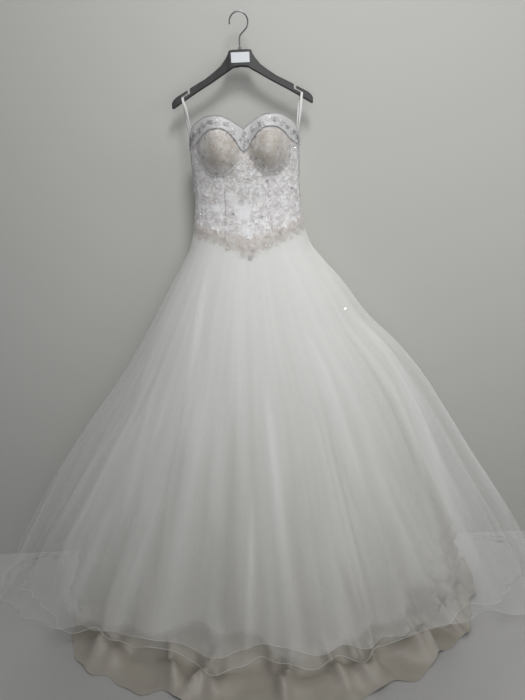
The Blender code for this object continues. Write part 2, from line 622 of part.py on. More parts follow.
def zip_pull_tab(group, cutters):
    """The pull tab, whose eye turns on the slider's pin."""
    x, y, z = ZIP_PIVOT
    tab = cylinder("zip_pull_tab", EYE_RADIUS, EYE_WIDTH, ZIP_PIVOT, "zip_metal", group, math.pi / 2)
    boolean(tab, block("tab_neck", NECK, (x, y, z - NECK_BELOW), "zip_metal", cutters), "UNION")
    boolean(tab, block("tab_blade", BLADE, (x, y, z - BLADE_BELOW), "zip_metal", cutters), "UNION")
    hole = cylinder("tab_hole", EYE_HOLE, 2 * EYE_WIDTH, ZIP_PIVOT, "zip_metal", cutters, math.pi / 2)
    boolean(tab, hole, "DIFFERENCE")


def main():
    empty_scene()
    gown, cutters = collection("wedding_gown_on_hanger"), collection("cutters")
    bodice(gown)
    pipings(gown)
    waist_lace(gown)
    skirts(gown)
    hanger(gown, cutters)
    ribbon_loop("ribbon_loop_left", -1, gown)
    ribbon_loop("ribbon_loop_right", 1, gown)
    zip_slider(gown, cutters)
    zip_pull_tab(gown, cutters)


main()
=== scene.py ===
"""The looks of a strapless wedding gown that hangs by its ribbon loops on a black clothes hanger.

Metres, +Z up, the gown's front faces -Y, and the origin is where the hanger's hook bears.
"run" is a distance down from the origin; past the floor it goes on along the floor.
Angles go round the gown in degrees: 0 at the front centre, 90 at +X, 180 at the back centre.
"""

import math
from collections import namedtuple

import bpy
import numpy as np
from mathutils import Matrix, Vector


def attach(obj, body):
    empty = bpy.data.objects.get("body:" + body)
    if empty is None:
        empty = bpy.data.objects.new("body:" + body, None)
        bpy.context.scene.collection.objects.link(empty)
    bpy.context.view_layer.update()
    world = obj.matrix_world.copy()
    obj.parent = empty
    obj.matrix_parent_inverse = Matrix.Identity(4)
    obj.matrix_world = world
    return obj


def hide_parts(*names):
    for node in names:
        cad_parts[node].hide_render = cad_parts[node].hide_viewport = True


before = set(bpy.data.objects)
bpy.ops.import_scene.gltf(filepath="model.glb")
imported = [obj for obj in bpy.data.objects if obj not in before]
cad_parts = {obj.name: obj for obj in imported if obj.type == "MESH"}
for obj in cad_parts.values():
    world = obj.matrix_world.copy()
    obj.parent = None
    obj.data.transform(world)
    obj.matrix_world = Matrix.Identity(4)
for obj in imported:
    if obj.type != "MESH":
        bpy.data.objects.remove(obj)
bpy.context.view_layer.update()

# The camera of the photo, and the room's plain floor and wall
FOCAL_PIXELS, FRAME_HEIGHT = 529.0, 700.0
CAMERA_PLACE, CAMERA_DOWN, CAMERA_ROLL = (0.024, -1.600, -0.394), 18.8, 2.6
WALL_Y, ROOM_HALF, ROOM_HEIGHT = 0.052, 6.0, 3.2

# Driving dimensions of the garment, the same as the solids' but for softer cups
FLOOR_RUN = 1.72
AXIS_Y = -0.030
BODICE_WALL, SATIN_WALL, TULLE_WALL, LACE_WALL = 0.0016, 0.0015, 0.0010, 0.0010
PANEL_SEAMS = (24, 60, 90, 180)
SEAM_GAP, SEAM_TURN = 0.0004, 0.012
BACK_FULL, FLATTER_BACK, BUST_HALF = 2.0, 30.0, 0.15
CUP_X, CUP_RUN, CUP_DEPTH = 0.070, 0.338, 0.036
CUP_REACH_IN, CUP_REACH_OUT, CUP_REACH_UP, CUP_REACH_DOWN = 0.060, 0.060, 0.110, 0.074
RIBBON_X, RIBBON_TOP, RIBBON_WIDTH, RIBBON_WALL = 0.1630, -0.1984, 0.0070, 0.0010
RIBBON_OVER, RIBBON_ROUND, SLOT_SLOPE = 0.0094, 0.0005, 27.3
FOLD_START, FOLD_GROWTH, FOLD_MEAN = 0.60, 1.10, 0.016
HEM_WAVES, HEM_WAVE_START = 20, 1.35
FLOOR_BEND = 0.030
NET_SOFTNESS = 0.72
INNER_PLY_HEM = 1.625
OUTER_RIPPLE, WAVED_RIPPLE, SATIN_RIPPLE, LEFT_SHORTER = 0.008, 0.013, 0.012, 0.045

Section = namedtuple("Section", "run left right front back full_left full_right")
Edge = namedtuple("Edge", "angle run")
Fold = namedtuple("Fold", "angle half_width height")
Crease = namedtuple("Crease", "angle lean start end half_width height")
Gather = namedtuple("Gather", "waves sway_waves sway top_height hem_height start end")
Side = namedtuple("Side", "run left right")
Dip = namedtuple("Dip", "angle half_width down")
Slump = namedtuple("Slump", "angle half_width depth")
Knot = namedtuple("Knot", "x y z apart turn")
Layer = namedtuple("Layer", "name node table hem inset fold wave wall creases fine ruffle")
Panel = namedtuple("Panel", "name near far top bottom finish")
Cut = namedtuple("Cut", "width length area")
Spot = namedtuple("Spot", "angle run size turn")

BODICE = [
    Section(0.250, 0.1500, 0.1500, 0.080, 0.058, 2.4, 2.4),
    Section(0.310, 0.1510, 0.1510, 0.084, 0.058, 2.4, 2.4),
    Section(0.360, 0.1505, 0.1505, 0.081, 0.058, 2.4, 2.4),
    Section(0.420, 0.1485, 0.1490, 0.073, 0.056, 2.4, 2.4),
    Section(0.470, 0.1495, 0.1510, 0.071, 0.055, 2.4, 2.4),
    Section(0.520, 0.1550, 0.1560, 0.078, 0.056, 2.4, 2.4),
    Section(0.560, 0.1640, 0.1660, 0.088, 0.058, 2.4, 2.4),
    Section(0.605, 0.1780, 0.1830, 0.101, 0.060, 2.3, 2.3),
    Section(0.640, 0.1990, 0.2110, 0.120, 0.064, 2.2, 2.2),
]
WAIST_ROWS = BODICE[4:8]
OUTER_TULLE = WAIST_ROWS + [
    Section(0.640, 0.198, 0.210, 0.117, 0.062, 2.20, 2.20),
    Section(0.720, 0.248, 0.278, 0.157, 0.066, 2.10, 2.10),
    Section(0.820, 0.310, 0.350, 0.209, 0.069, 2.00, 2.00),
    Section(0.920, 0.375, 0.448, 0.257, 0.071, 1.95, 2.00),
    Section(1.020, 0.448, 0.528, 0.303, 0.072, 1.90, 2.00),
    Section(1.140, 0.545, 0.605, 0.352, 0.073, 1.80, 2.00),
    Section(1.300, 0.665, 0.702, 0.410, 0.074, 1.75, 2.00),
    Section(1.450, 0.765, 0.798, 0.457, 0.074, 1.70, 2.10),
    Section(1.580, 0.842, 0.868, 0.492, 0.074, 1.70, 2.20),
    Section(1.680, 0.890, 0.910, 0.520, 0.074, 1.70, 2.30),
    Section(1.716, 0.915, 0.938, 0.540, 0.074, 1.70, 2.40),
    Section(1.800, 0.965, 0.995, 0.590, 0.074, 1.70, 2.60),
]
WAVED_TULLE = WAIST_ROWS + [
    Section(0.640, 0.193, 0.204, 0.113, 0.060, 2.20, 2.20),
    Section(0.720, 0.236, 0.262, 0.149, 0.062, 2.10, 2.10),
    Section(0.820, 0.289, 0.325, 0.198, 0.064, 2.00, 2.00),
    Section(0.920, 0.337, 0.412, 0.244, 0.065, 1.95, 1.95),
    Section(1.020, 0.396, 0.482, 0.286, 0.066, 1.85, 1.90),
    Section(1.140, 0.487, 0.552, 0.333, 0.066, 1.75, 1.85),
    Section(1.300, 0.598, 0.640, 0.388, 0.066, 1.70, 1.80),
    Section(1.450, 0.706, 0.730, 0.434, 0.066, 1.65, 1.80),
    Section(1.580, 0.790, 0.803, 0.468, 0.066, 1.65, 1.80),
    Section(1.680, 0.842, 0.852, 0.490, 0.066, 1.65, 1.80),
    Section(1.716, 0.868, 0.880, 0.500, 0.066, 1.65, 1.80),
    Section(1.800, 0.905, 0.925, 0.530, 0.066, 1.65, 1.80),
]
SATIN = WAIST_ROWS + [
    Section(0.640, 0.187, 0.195, 0.108, 0.056, 2.20, 2.20),
    Section(0.720, 0.216, 0.234, 0.139, 0.056, 2.10, 2.10),
    Section(0.820, 0.254, 0.300, 0.184, 0.057, 2.00, 2.00),
    Section(0.920, 0.298, 0.388, 0.227, 0.058, 2.00, 2.00),
    Section(1.020, 0.344, 0.446, 0.267, 0.058, 2.00, 2.00),
    Section(1.140, 0.402, 0.495, 0.311, 0.058, 2.00, 2.00),
    Section(1.300, 0.485, 0.545, 0.363, 0.058, 2.00, 2.00),
    Section(1.450, 0.556, 0.582, 0.400, 0.058, 2.00, 2.00),
    Section(1.580, 0.606, 0.610, 0.424, 0.058, 2.00, 2.05),
    Section(1.680, 0.640, 0.632, 0.438, 0.058, 2.00, 2.10),
    Section(1.716, 0.660, 0.652, 0.466, 0.058, 2.00, 2.15),
    Section(1.800, 0.735, 0.740, 0.556, 0.058, 2.45, 2.40),
    Section(1.820, 0.750, 0.755, 0.576, 0.058, 2.55, 2.50),
]

NECKLINE = [
    Edge(0, 0.2930), Edge(7.6, 0.2790), Edge(14.6, 0.2680), Edge(23.4, 0.2600), Edge(34.3, 0.2580),
    Edge(41.5, 0.2598), Edge(55.9, 0.2710), Edge(66, 0.2816), Edge(78.6, 0.3020), Edge(90, 0.3150),
    Edge(120, 0.3260), Edge(180, 0.3300),
]
CUP_LINE = [
    Edge(0, 0.3465), Edge(5.1, 0.3350), Edge(9.7, 0.3155), Edge(16.5, 0.2975), Edge(24.2, 0.2893),
    Edge(32.7, 0.2895), Edge(42.7, 0.2990), Edge(51.4, 0.3140), Edge(59.4, 0.3225), Edge(75.2, 0.3312),
    Edge(90, 0.3360),
]
UNDER_BUST = [
    Edge(0, 0.3530), Edge(8, 0.3730), Edge(16, 0.3900), Edge(24, 0.4000), Edge(32, 0.4020),
    Edge(42, 0.3930), Edge(52, 0.3660), Edge(60, 0.3340),
]
WAIST = [
    Edge(0, 0.6050), Edge(14.2, 0.5850), Edge(29.4, 0.5670), Edge(50, 0.5550), Edge(79, 0.5390),
    Edge(90, 0.5370), Edge(120, 0.5400), Edge(180, 0.5480),
]
OUTER_HEM = [
    Edge(0, 1.600), Edge(25, 1.605), Edge(45, 1.640), Edge(62, 1.730), Edge(90, 1.790), Edge(180, 1.712),
]
WAVED_HEM = [
    Edge(0, 1.668), Edge(35, 1.664), Edge(52, 1.680), Edge(66, 1.716), Edge(90, 1.760), Edge(180, 1.712),
]
SATIN_HEM = [Edge(0, 1.808), Edge(40, 1.804), Edge(60, 1.790), Edge(90, 1.750), Edge(130, 1.712), Edge(180, 1.712)]

FOLDS = [
    Fold(-85.5, 3.8, 0.022), Fold(-72, 4.4, 0.034), Fold(-58.5, 4.0, 0.030), Fold(-45, 4.2, 0.040),
    Fold(-36, 3.4, 0.026), Fold(-22.5, 4.6, 0.036), Fold(-9, 4.0, 0.042), Fold(9, 4.4, 0.044),
    Fold(18, 3.2, 0.026), Fold(27, 3.6, 0.046), Fold(40.5, 4.0, 0.034), Fold(54, 4.4, 0.040),
    Fold(63, 3.4, 0.028), Fold(76.5, 4.4, 0.034), Fold(90, 4.0, 0.018),
]

# Creases of the skirts as they hang: angle at the top, how far it leans by the end, and the height
CREASES = [
    Crease(-39, 17, 0.60, 1.10, 2.2, 0.008), Crease(-45, 10, 0.90, 1.28, 1.8, 0.008),
    Crease(-15, 4, 0.92, 1.30, 1.5, 0.007), Crease(3, 2.5, 0.82, 1.75, 1.3, 0.011),
    Crease(-2, -2, 1.15, 1.75, 0.9, 0.013), Crease(21, 0, 0.86, 1.75, 1.3, -0.015),
    Crease(18.6, 0, 0.90, 1.75, 1.4, 0.012), Crease(16, 4.5, 1.34, 1.75, 1.0, -0.010),
    Crease(-12, 9, 1.46, 1.75, 1.1, 0.012), Crease(-54, -4, 0.95, 1.50, 1.3, 0.010),
    Crease(-62, 6, 0.75, 1.35, 1.5, 0.008), Crease(74, -1, 0.98, 1.60, 1.6, 0.010),
    Crease(62, -19, 0.82, 1.52, 1.6, 0.009), Crease(25, -0.5, 0.78, 1.20, 1.3, 0.007),
    Crease(-28.5, 6.5, 0.96, 1.50, 1.3, -0.009), Crease(-8, 0.5, 0.90, 1.55, 1.5, -0.009),
    Crease(48, -4, 0.70, 1.30, 1.6, -0.007), Crease(34, 3, 1.10, 1.70, 1.2, 0.008),
    Crease(-70, 3, 1.05, 1.70, 1.4, -0.008), Crease(84, -3, 0.80, 1.50, 1.5, 0.007),
    Crease(-84, 4, 0.90, 1.60, 1.5, 0.007), Crease(-31, -2, 1.25, 1.75, 1.1, 0.009),
    Crease(108, 4, 0.70, 1.60, 3.0, 0.004), Crease(122, -3, 0.85, 1.70, 3.6, 0.005),
    Crease(139, 4, 0.62, 1.40, 3.0, 0.004), Crease(152, -5, 0.90, 1.70, 3.4, 0.005),
    Crease(168, 3, 0.70, 1.65, 2.6, 0.004), Crease(185, -4, 0.80, 1.70, 3.0, 0.005),
    Crease(199, 4, 0.62, 1.45, 3.2, 0.004), Crease(214, -3, 0.85, 1.70, 3.4, 0.005),
    Crease(230, 4, 0.75, 1.65, 3.0, 0.004), Crease(247, -3, 0.90, 1.60, 3.2, 0.004),
]
GATHERS = [
    Gather(97, 9, 2.6, 0.0002, 0.0000, 0.52, 0.70),
    Gather(43, 7, 3.3, 0.0001, 0.0009, 0.54, 1.72),
    Gather(23, 5, 3.9, 0.0001, 0.0038, 0.66, 1.72),
]
# Creases of the satin, which hangs in deeper folds at the right and lies in heaped folds on the floor
SATIN_CREASES = [
    Crease(36, 3, 1.30, 1.84, 1.5, 0.034), Crease(44, -3, 1.46, 1.84, 1.0, 0.052),
    Crease(50, 2, 1.42, 1.84, 0.9, 0.048), Crease(57, -2, 1.42, 1.84, 1.2, 0.056),
    Crease(65, 2, 1.30, 1.78, 1.6, 0.036), Crease(76, 3, 1.30, 1.76, 2.6, 0.030),
    Crease(-36, -4, 1.45, 1.80, 2.2, 0.024), Crease(-49, 4, 1.50, 1.80, 1.8, 0.034),
    Crease(-61, -3, 1.45, 1.78, 2.4, 0.034), Crease(-76, 3, 1.40, 1.76, 3.0, 0.026),
    Crease(7, -5, 1.63, 1.84, 1.3, 0.040), Crease(0, 5, 1.66, 1.86, 0.9, 0.032),
    Crease(-11, -9, 1.64, 1.82, 1.3, 0.036), Crease(-18, 9, 1.66, 1.84, 1.5, 0.028),
    Crease(14, 4, 1.62, 1.84, 1.1, 0.030), Crease(21, 2, 1.62, 1.84, 1.4, 0.036),
    Crease(29, -6, 1.60, 1.84, 1.3, 0.040), Crease(-27, 8, 1.64, 1.82, 1.4, 0.034),
]
# Angles between which the waved tulle hangs in several plies
DENSE_SIDES = [
    Side(0.80, -96, 110), Side(0.95, -68, 84), Side(1.12, -57, 68), Side(1.43, -57, 55),
    Side(1.58, -50, 49), Side(1.80, -46, 46),
]
# Dips and rises of the curled hem: angle, half width and how far down
HEM_DIPS = [
    Dip(-9, 3.4, 0.026), Dip(9.5, 3.6, 0.022), Dip(0.5, 3.0, -0.018), Dip(-22, 6, -0.014),
    Dip(17, 2.6, 0.016), Dip(-34, 5, -0.012), Dip(26, 3.5, -0.014), Dip(34, 3, 0.016), Dip(-44, 4, 0.014),
]
# The slumped cloth at the satin's sides: middle angle, half width and depth of its zigzag
SLUMPS = [Slump(64, 20, 0.030), Slump(-68, 18, 0.012)]

# The lace: where it begins and ends, the patches it leaves free, and its clusters of dark beads
LACE_TOP = [*CUP_LINE[:-1], Edge(90, 0.3250), Edge(120, 0.3330), Edge(180, 0.3370)]
LACE_HEM = [Edge(row.angle, row.run - 0.003) for row in WAIST]
LACE_TRAIL = [Edge(row.angle, row.run + 0.020 - 0.006 * (i % 2)) for i, row in enumerate(WAIST)]
LACE_ROUND_RUN, LACE_REST = 0.45, -0.0006
BARE_PATCHES = [
    Spot(-2, 0.503, 0.034, 0), Spot(-2, 0.547, 0.024, 0), Spot(15, 0.532, 0.020, 0),
    Spot(-33, 0.486, 0.018, 0), Spot(36, 0.474, 0.020, 0),
]
BARE_SHARE, BARE_STRENGTH = 0.55, 0.62
ZIP_TOP, ZIP_END, ZIP_CLEAR = 0.3465, 0.5340, 3.4
DARK_STONES = [
    Spot(-15, 0.506, 0.0048, 10), Spot(14, 0.517, 0.0052, 40), Spot(3, 0.604, 0.0050, 0),
    Spot(32, 0.562, 0.0046, 20), Spot(-27, 0.452, 0.0042, 0), Spot(22, 0.424, 0.0044, 30),
    Spot(-9, 0.318, 0.0036, 0), Spot(11.5, 0.312, 0.0042, 15), Spot(2, 0.418, 0.0042, 50),
    Spot(56, 0.446, 0.0044, 0), Spot(-24, 0.570, 0.0042, 25), Spot(0.5, 0.622, 0.0046, 30),
]
VEIL_LIGHT, VEIL_DARK, VEIL_LILAC = (0.70, 0.69, 0.685), (0.46, 0.445, 0.435), (0.53, 0.495, 0.515)
CUP_NUDE_AND_SHADE, WAIST_BEIGE, BARE_WHITE = (0.41, 0.375, 0.32), (0.48, 0.44, 0.40), (0.74, 0.75, 0.76)
# CUP_SHADE is the oval over each cup, middle across and down and half sizes, where the cups' tint is laid: partly nude
# lining colour, partly painted shade
CUP_SHADE = (0.060, 0.338, 0.082, 0.080)
LACE_EDGE_LIGHT, LACE_EDGE_DARK = (0.72, 0.69, 0.655), (0.50, 0.455, 0.415)
SKIRT_STONES = [Spot(56, 0.78, 0.0022, 0), Spot(-33, 1.02, 0.0012, 0), Spot(61, 1.00, 0.0012, 0)]

# Half of a ribbon loop, from its end inside the side seam up to the bar
RIBBON = [
    Knot(0.1470, -0.0300, -0.3500, 0.0009, 0), Knot(0.1467, -0.0300, -0.3300, 0.0009, 0),
    Knot(0.1464, -0.0300, -0.3160, 0.0009, 0), Knot(0.1466, -0.0296, -0.3070, 0.0010, 5),
    Knot(0.1500, -0.0240, -0.2850, 0.0022, 25), Knot(0.1545, -0.0150, -0.2520, 0.0048, 55),
    Knot(0.1590, -0.0065, -0.2220, 0.0085, 80), Knot(0.1620, -0.0010, -0.2080, RIBBON_OVER, 90),
    Knot(RIBBON_X, 0.0, -0.2010, RIBBON_OVER, 90),
]


def smooth(at, places, values):
    """Values between the rows of a table, on a curve that keeps its rises and falls."""
    places, values = np.asarray(places, float), np.asarray(values, float)
    step = np.diff(places)
    slope = np.diff(values) / step
    tangent = np.zeros(len(places))
    same_way = slope[:-1] * slope[1:] > 0
    tangent[1:-1][same_way] = 2 * slope[:-1][same_way] * slope[1:][same_way] / (
        slope[:-1][same_way] + slope[1:][same_way]
    )
    tangent[0], tangent[-1] = slope[0], slope[-1]
    at = np.clip(at, places[0], places[-1])
    i = np.clip(np.searchsorted(places, at) - 1, 0, len(step) - 1)
    t = (at - places[i]) / step[i]
    return (
        values[i] * (1 + 2 * t) * (1 - t) ** 2
        + tangent[i] * step[i] * t * (1 - t) ** 2
        + values[i + 1] * t * t * (3 - 2 * t)
        + tangent[i + 1] * step[i] * t * t * (t - 1)
    )


def turned(angle):
    """An angle between -180 and 180."""
    return (np.asarray(angle, float) + 180) % 360 - 180


def edge_run(edge, angle):
    """How far down a cut edge lies at an angle, the same to the left and to the right."""
    return smooth(np.abs(turned(angle)), [row.angle for row in edge], [row.run for row in edge])


def ease(value):
    value = np.clip(value, 0, 1)
    return value * value * (3 - 2 * value)


def section_point(table, angle, run):
    """The points of a garment's outer skin at angles and runs."""
    angle, run = np.broadcast_arrays(np.asarray(angle, float), np.asarray(run, float))
    runs = [row.run for row in table]
    look = {name: smooth(run, runs, [getattr(row, name) for row in table]) for name in Section._fields[1:]}
    side = np.sin(np.radians(angle))
    to_front = np.cos(np.radians(angle)) >= 0
    half = np.where(side < 0, look["left"], look["right"])
    full = np.where(side < 0, look["full_left"], look["full_right"])
    full = np.where(to_front, full, BACK_FULL + FLATTER_BACK * np.clip(half - BUST_HALF, 0, BUST_HALF))
    depth = np.where(to_front, -look["front"], look["back"])
    y = AXIS_Y + depth * np.sqrt(np.clip(1 - np.abs(side) ** full, 0, 1))
    over = (run - FLOOR_RUN) / FLOOR_BEND
    z = -FLOOR_RUN - FLOOR_BEND * np.where(over > 0.5, 0.0, np.where(over < -0.5, over, -0.5 * (0.5 - over) ** 2))
    return np.stack([half * side, y, z], axis=-1)


def moved_out(shape, angle, run, distance):
    """The points of a surface, moved out from it squarely by a distance."""
    across = shape(angle + 0.05, run) - shape(angle - 0.05, run)
    down = shape(angle, run + 0.0005) - shape(angle, run - 0.0005)
    normal = np.cross(down, across)
    normal /= np.maximum(np.linalg.norm(normal, axis=-1, keepdims=True), 1e-12)
    return shape(angle, run) + normal * np.asarray(distance)[..., None]


def cup_rise(x, run):
    """How far the moulded cups stand out of the bodice's front."""
    across = (np.abs(x) - CUP_X) / np.where(np.abs(x) < CUP_X, CUP_REACH_IN, CUP_REACH_OUT)
    along = (run - CUP_RUN) / np.where(run < CUP_RUN, CUP_REACH_UP, CUP_REACH_DOWN)
    return CUP_DEPTH * np.clip(1 - across**2 - along**2, 0, 1) ** 1.4


def bodice_point(angle, run):
    points = section_point(BODICE, angle, run)
    in_front = np.cos(np.radians(angle)) > 0
    points[..., 1] -= np.where(in_front, cup_rise(points[..., 0], run), 0)
    return points


def fold_height(angle):
    """How far the skirt's largest folds stand out at an angle, about an even mean."""
    angle = turned(angle)
    height = np.full(angle.shape, -FOLD_MEAN)
    for fold in FOLDS:
        height = height + fold.height * np.exp(-(((angle - fold.angle) / fold.half_width) ** 2))
    return height * ease((100 - np.abs(angle)) / 15)


def crease_height(creases, angle, run):
    """The listed creases and the gathers that run down from the waist seam."""
    height = np.zeros(np.broadcast(angle, run).shape)
    for crease in creases:
        share = (run - crease.start) / (crease.end - crease.start)
        middle = crease.angle + crease.lean * share
        fade = ease(share / 0.35) * ease((1.15 - share) / 0.3)
        off = turned(angle - middle) / (crease.half_width * (0.7 + 0.6 * np.clip(share, 0, 1)))
        height = height + crease.height * fade * np.exp(-(off**2))
    radians = np.radians(angle)
    calm_back = 0.45 + 0.55 * ease((110 - np.abs(turned(angle))) / 25)
    for row in GATHERS:
        share = np.clip((run - row.start) / (row.end - row.start), 0, 1)
        size = row.top_height + (row.hem_height - row.top_height) * share
        uneven = 0.65 + 0.35 * np.sin(radians * (row.sway_waves + 4) + row.waves)
        wave = np.sin(radians * row.waves + row.sway * np.sin(radians * row.sway_waves + 0.7 * row.waves))
        height = height + size * uneven * wave * ease((run - row.start) / 0.03) * calm_back
    return height


def gathered_share(angle, run):
    """How far the net is heaped in ridges, or drawn thin in valleys, from 1 to -1; the net's cover follows it, and so
    does its tone, as painted highlight and painted shade.
    """
    grown = ease((run - 0.95) / 0.6)
    height = crease_height(CREASES, angle, run) + 0.12 * grown * fold_height(angle)
    return np.clip(height / 0.010, -1, 1)


def single_share(layer, angle, run):
    """Where the waved tulle is one ply thin: at the sides, and below the hem of its inner plies."""
    if layer.table is not WAVED_TULLE:
        return np.zeros(np.broadcast(angle, run).shape)
    rad = np.radians(angle)
    ragged = 0.022 * np.sin(9 * rad + 1.4 * np.sin(4 * rad)) + 0.010 * np.sin(26 * rad + 2 * np.sin(5 * rad))
    shorter = 0.13 * ease((angle - 22) / 14)
    end = INNER_PLY_HEM + ragged - 0.075 * np.exp(-(((angle + 16) / 13) ** 2)) - shorter
    below = ease((run - end) / (0.022 + 0.5 * shorter)) * (1 - 2.5 * shorter)
    runs = [row.run for row in DENSE_SIDES]
    left = smooth(run, runs, [row.left for row in DENSE_SIDES])
    right = smooth(run, runs, [row.right for row in DENSE_SIDES])
    aside = np.maximum(ease((left - angle) / 7), ease((angle - right) / 11))
    return np.maximum(below * ease((80 - np.abs(angle)) / 25), aside * ease((132 - np.abs(angle)) / 8))


def slump_height(angle, run):
    """The zigzag of the satin where it has sunk down on itself above the floor."""
    height = np.zeros(np.broadcast(angle, run).shape)
    for slump in SLUMPS:
        near = np.exp(-((turned(angle - slump.angle) / slump.half_width) ** 2))
        phase = (run - 1.44) / 0.062 + 0.05 * (angle - slump.angle)
        height = height + slump.depth * near * np.abs(2 * (phase % 1) - 1)
    height = height * ease((run - 1.44) / 0.10)
    heap = np.sin(run * 74 + 3.4 * np.sin(np.radians(angle) * 6)) + 0.6 * np.sin(run * 51 - np.radians(angle) * 19)
    return height + 0.008 * (1 + heap) * ease((run - 1.69) / 0.04)


def skirt_point(layer, angle, run):
    """The points of a skirt layer at angles and runs, folded, creased and waved, and clear of the floor."""
    grown = np.clip((run - FOLD_START) / (FLOOR_RUN - FOLD_START), 0, 1) ** FOLD_GROWTH
    wave = np.sin(np.radians(angle) * HEM_WAVES + 1.3 * np.sin(np.radians(angle) * 3))
    from_back = ease((125 - np.abs(turned(angle))) / 30)
    waved = ease((run - HEM_WAVE_START) / (FLOOR_RUN - HEM_WAVE_START)) * from_back
    near_hem = ease((run - 1.50) / 0.20) * from_back
    small = np.sin(np.radians(angle) * 53 + 2.1 * np.sin(np.radians(angle) * 6))
    out = layer.fold * grown * fold_height(angle) + layer.wave * waved * wave - layer.inset
    out = out + layer.fine * crease_height(layer.creases, angle, run) + layer.ruffle * near_hem * small
    if layer.table is SATIN:
        out = out + slump_height(angle, run)
        out = out * (1 - 0.75 * ease((run - 1.745) / 0.05))
    points = moved_out(lambda a, r: section_point(layer.table, a, r), angle, run, out)
    points[..., 2] = np.maximum(points[..., 2], -FLOOR_RUN + layer.wall)
    return points


def grid_mesh(name, points, closed, places=None):
    """A mesh of quads through rows of points, with the cloth's own measure as its UV."""
    rows, columns = points.shape[:2]
    last = columns if closed else columns - 1
    row, column = np.meshgrid(np.arange(rows - 1), np.arange(last), indexing="ij")
    beside = (column + 1) % columns
    faces = np.stack(
        [row * columns + column, (row + 1) * columns + column, (row + 1) * columns + beside, row * columns + beside],
        axis=-1,
    ).reshape(-1, 4)
    mesh = bpy.data.meshes.new(name)
    mesh.from_pydata(points.reshape(-1, 3).tolist(), [], faces.tolist())
    if places is not None:
        across, down = places
        wide = np.concatenate([across, across[:, :1] + (across[:, -1:] - across[:, :1]) * columns / (columns - 1)], 1)
        deep = np.concatenate([down, down[:, :1]], 1)
        ends = [(row, column), (row + 1, column), (row + 1, column + 1), (row, column + 1)]
        corners = [np.stack([wide[r, c], deep[r, c]], axis=-1) for r, c in ends]
        layout = mesh.uv_layers.new(name="cloth")
        layout.data.foreach_set("uv", np.stack(corners, axis=2).reshape(-1).astype(np.float32))
    mesh.shade_smooth()
    mesh.update()
    return mesh


def outward(points):
    """Normals of a closed grid of points."""
    down = np.gradient(points, axis=0)
    across = np.roll(points, -1, axis=1) - np.roll(points, 1, axis=1)
    normal = np.cross(down, across)
    return normal / np.maximum(np.linalg.norm(normal, axis=-1, keepdims=True), 1e-12)


def soften(mesh, points, form):
    """Lights thin net as softly as light that has passed through its folds: nearly as the form under them."""
    normal = outward(points) * (1 - NET_SOFTNESS) + outward(form) * NET_SOFTNESS
    normal /= np.linalg.norm(normal, axis=-1, keepdims=True)
    mesh.normals_split_custom_set_from_vertices(normal.reshape(-1, 3).tolist())


def piece(name, mesh, finish, body="gown"):
    """A named piece of the gown in its place, with its finish."""
    made = bpy.data.objects.new(name, mesh)
    bpy.context.scene.collection.objects.link(made)
    made.data.materials.append(finish)
    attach(made, body)
    return made


def wall_of(made, thickness):
    wall = made.modifiers.new("wall", "SOLIDIFY")
    wall.thickness = thickness
    wall.offset = -1.0
    return made


def tube_mesh(name, points, radius, closed, sides=6):
    """A round cord along points."""
    points = np.asarray(points, float)
    before = np.roll(points, 1, axis=0)
    after = np.roll(points, -1, axis=0)
    if not closed:
        before[0], after[-1] = points[0], points[-1]
    along = after - before
    along /= np.linalg.norm(along, axis=1, keepdims=True)
    up = np.where(np.abs(along[:, 2:]) > 0.9, np.array([[0.0, 1.0, 0.0]]), np.array([[0.0, 0.0, 1.0]]))
    first = np.cross(along, up)
    first /= np.linalg.norm(first, axis=1, keepdims=True)
    second = np.cross(first, along)
    turn = np.linspace(0, 2 * np.pi, sides, endpoint=False)
    ring = first[:, None] * np.cos(turn)[None, :, None] + second[:, None] * np.sin(turn)[None, :, None]
    skin = points[:, None] + ring * np.broadcast_to(radius, len(points))[:, None, None]
    if closed:
        skin = np.concatenate([skin, skin[:1]])
    return grid_mesh(name, skin, True)


class Heap:
    """Many small shapes joined as one mesh."""

    def __init__(self):
        self.points, self.faces, self.count = [], [], 0

    def add(self, points, faces):
        """Copies of one shape: points are (copies, corners, 3), faces index one copy's corners."""
        copies, corners = points.shape[:2]
        shift = self.count + np.arange(copies)[:, None, None] * corners
        self.points.append(points.reshape(-1, 3))
        self.faces += (np.asarray(faces)[None] + shift).reshape(-1, np.shape(faces)[1]).tolist()
        self.count += copies * corners

    def mesh(self, name, rounded=True):
        made = bpy.data.meshes.new(name)
        made.from_pydata(np.concatenate(self.points).tolist(), [], self.faces)
        if rounded:
            made.shade_smooth()
        made.update()
        return made


def patch_faces(rows, columns):
    """Quads of a patch with rows x columns corners."""
    row, column = np.meshgrid(np.arange(rows - 1), np.arange(columns - 1), indexing="ij")
    a = (row * columns + column).ravel()
    return np.stack([a, a + columns, a + columns + 1, a + 1], axis=-1)


def leaf_shape():
    """A pointed leaf of unit length along x, with a sunk vein: corners as across, down and height."""
    share = np.linspace(0, 1, 5)[:, None]
    side = np.array([-1.0, 0.0, 1.0])[None, :]
    half = 0.19 * np.sin(np.pi * share**0.85) + 0.012
    across = share + 0 * side
    down = half * side + 0.06 * np.sin(np.pi * share)
    height = 0.06 * (0.3 + 0.7 * side**2) * np.sin(np.pi * share)
    return np.stack([across, down, height], axis=-1).reshape(-1, 3), patch_faces(5, 3)


def petal_shape():
    """One rounded petal of unit length along x with a turned-up rim."""
    share = np.linspace(0, 1, 4)[:, None]
    side = np.linspace(-1, 1, 4)[None, :]
    half = 0.40 * np.sin(np.pi * np.clip(share * 0.93 + 0.04, 0, 1)) ** 0.7
    across = 0.10 + 0.90 * share * (1 - 0.10 * side**2)
    down = half * side
    height = 0.04 + 0.08 * share + 0.06 * side**2 * share
    return np.stack([across, down, height], axis=-1).reshape(-1, 3), patch_faces(4, 4)


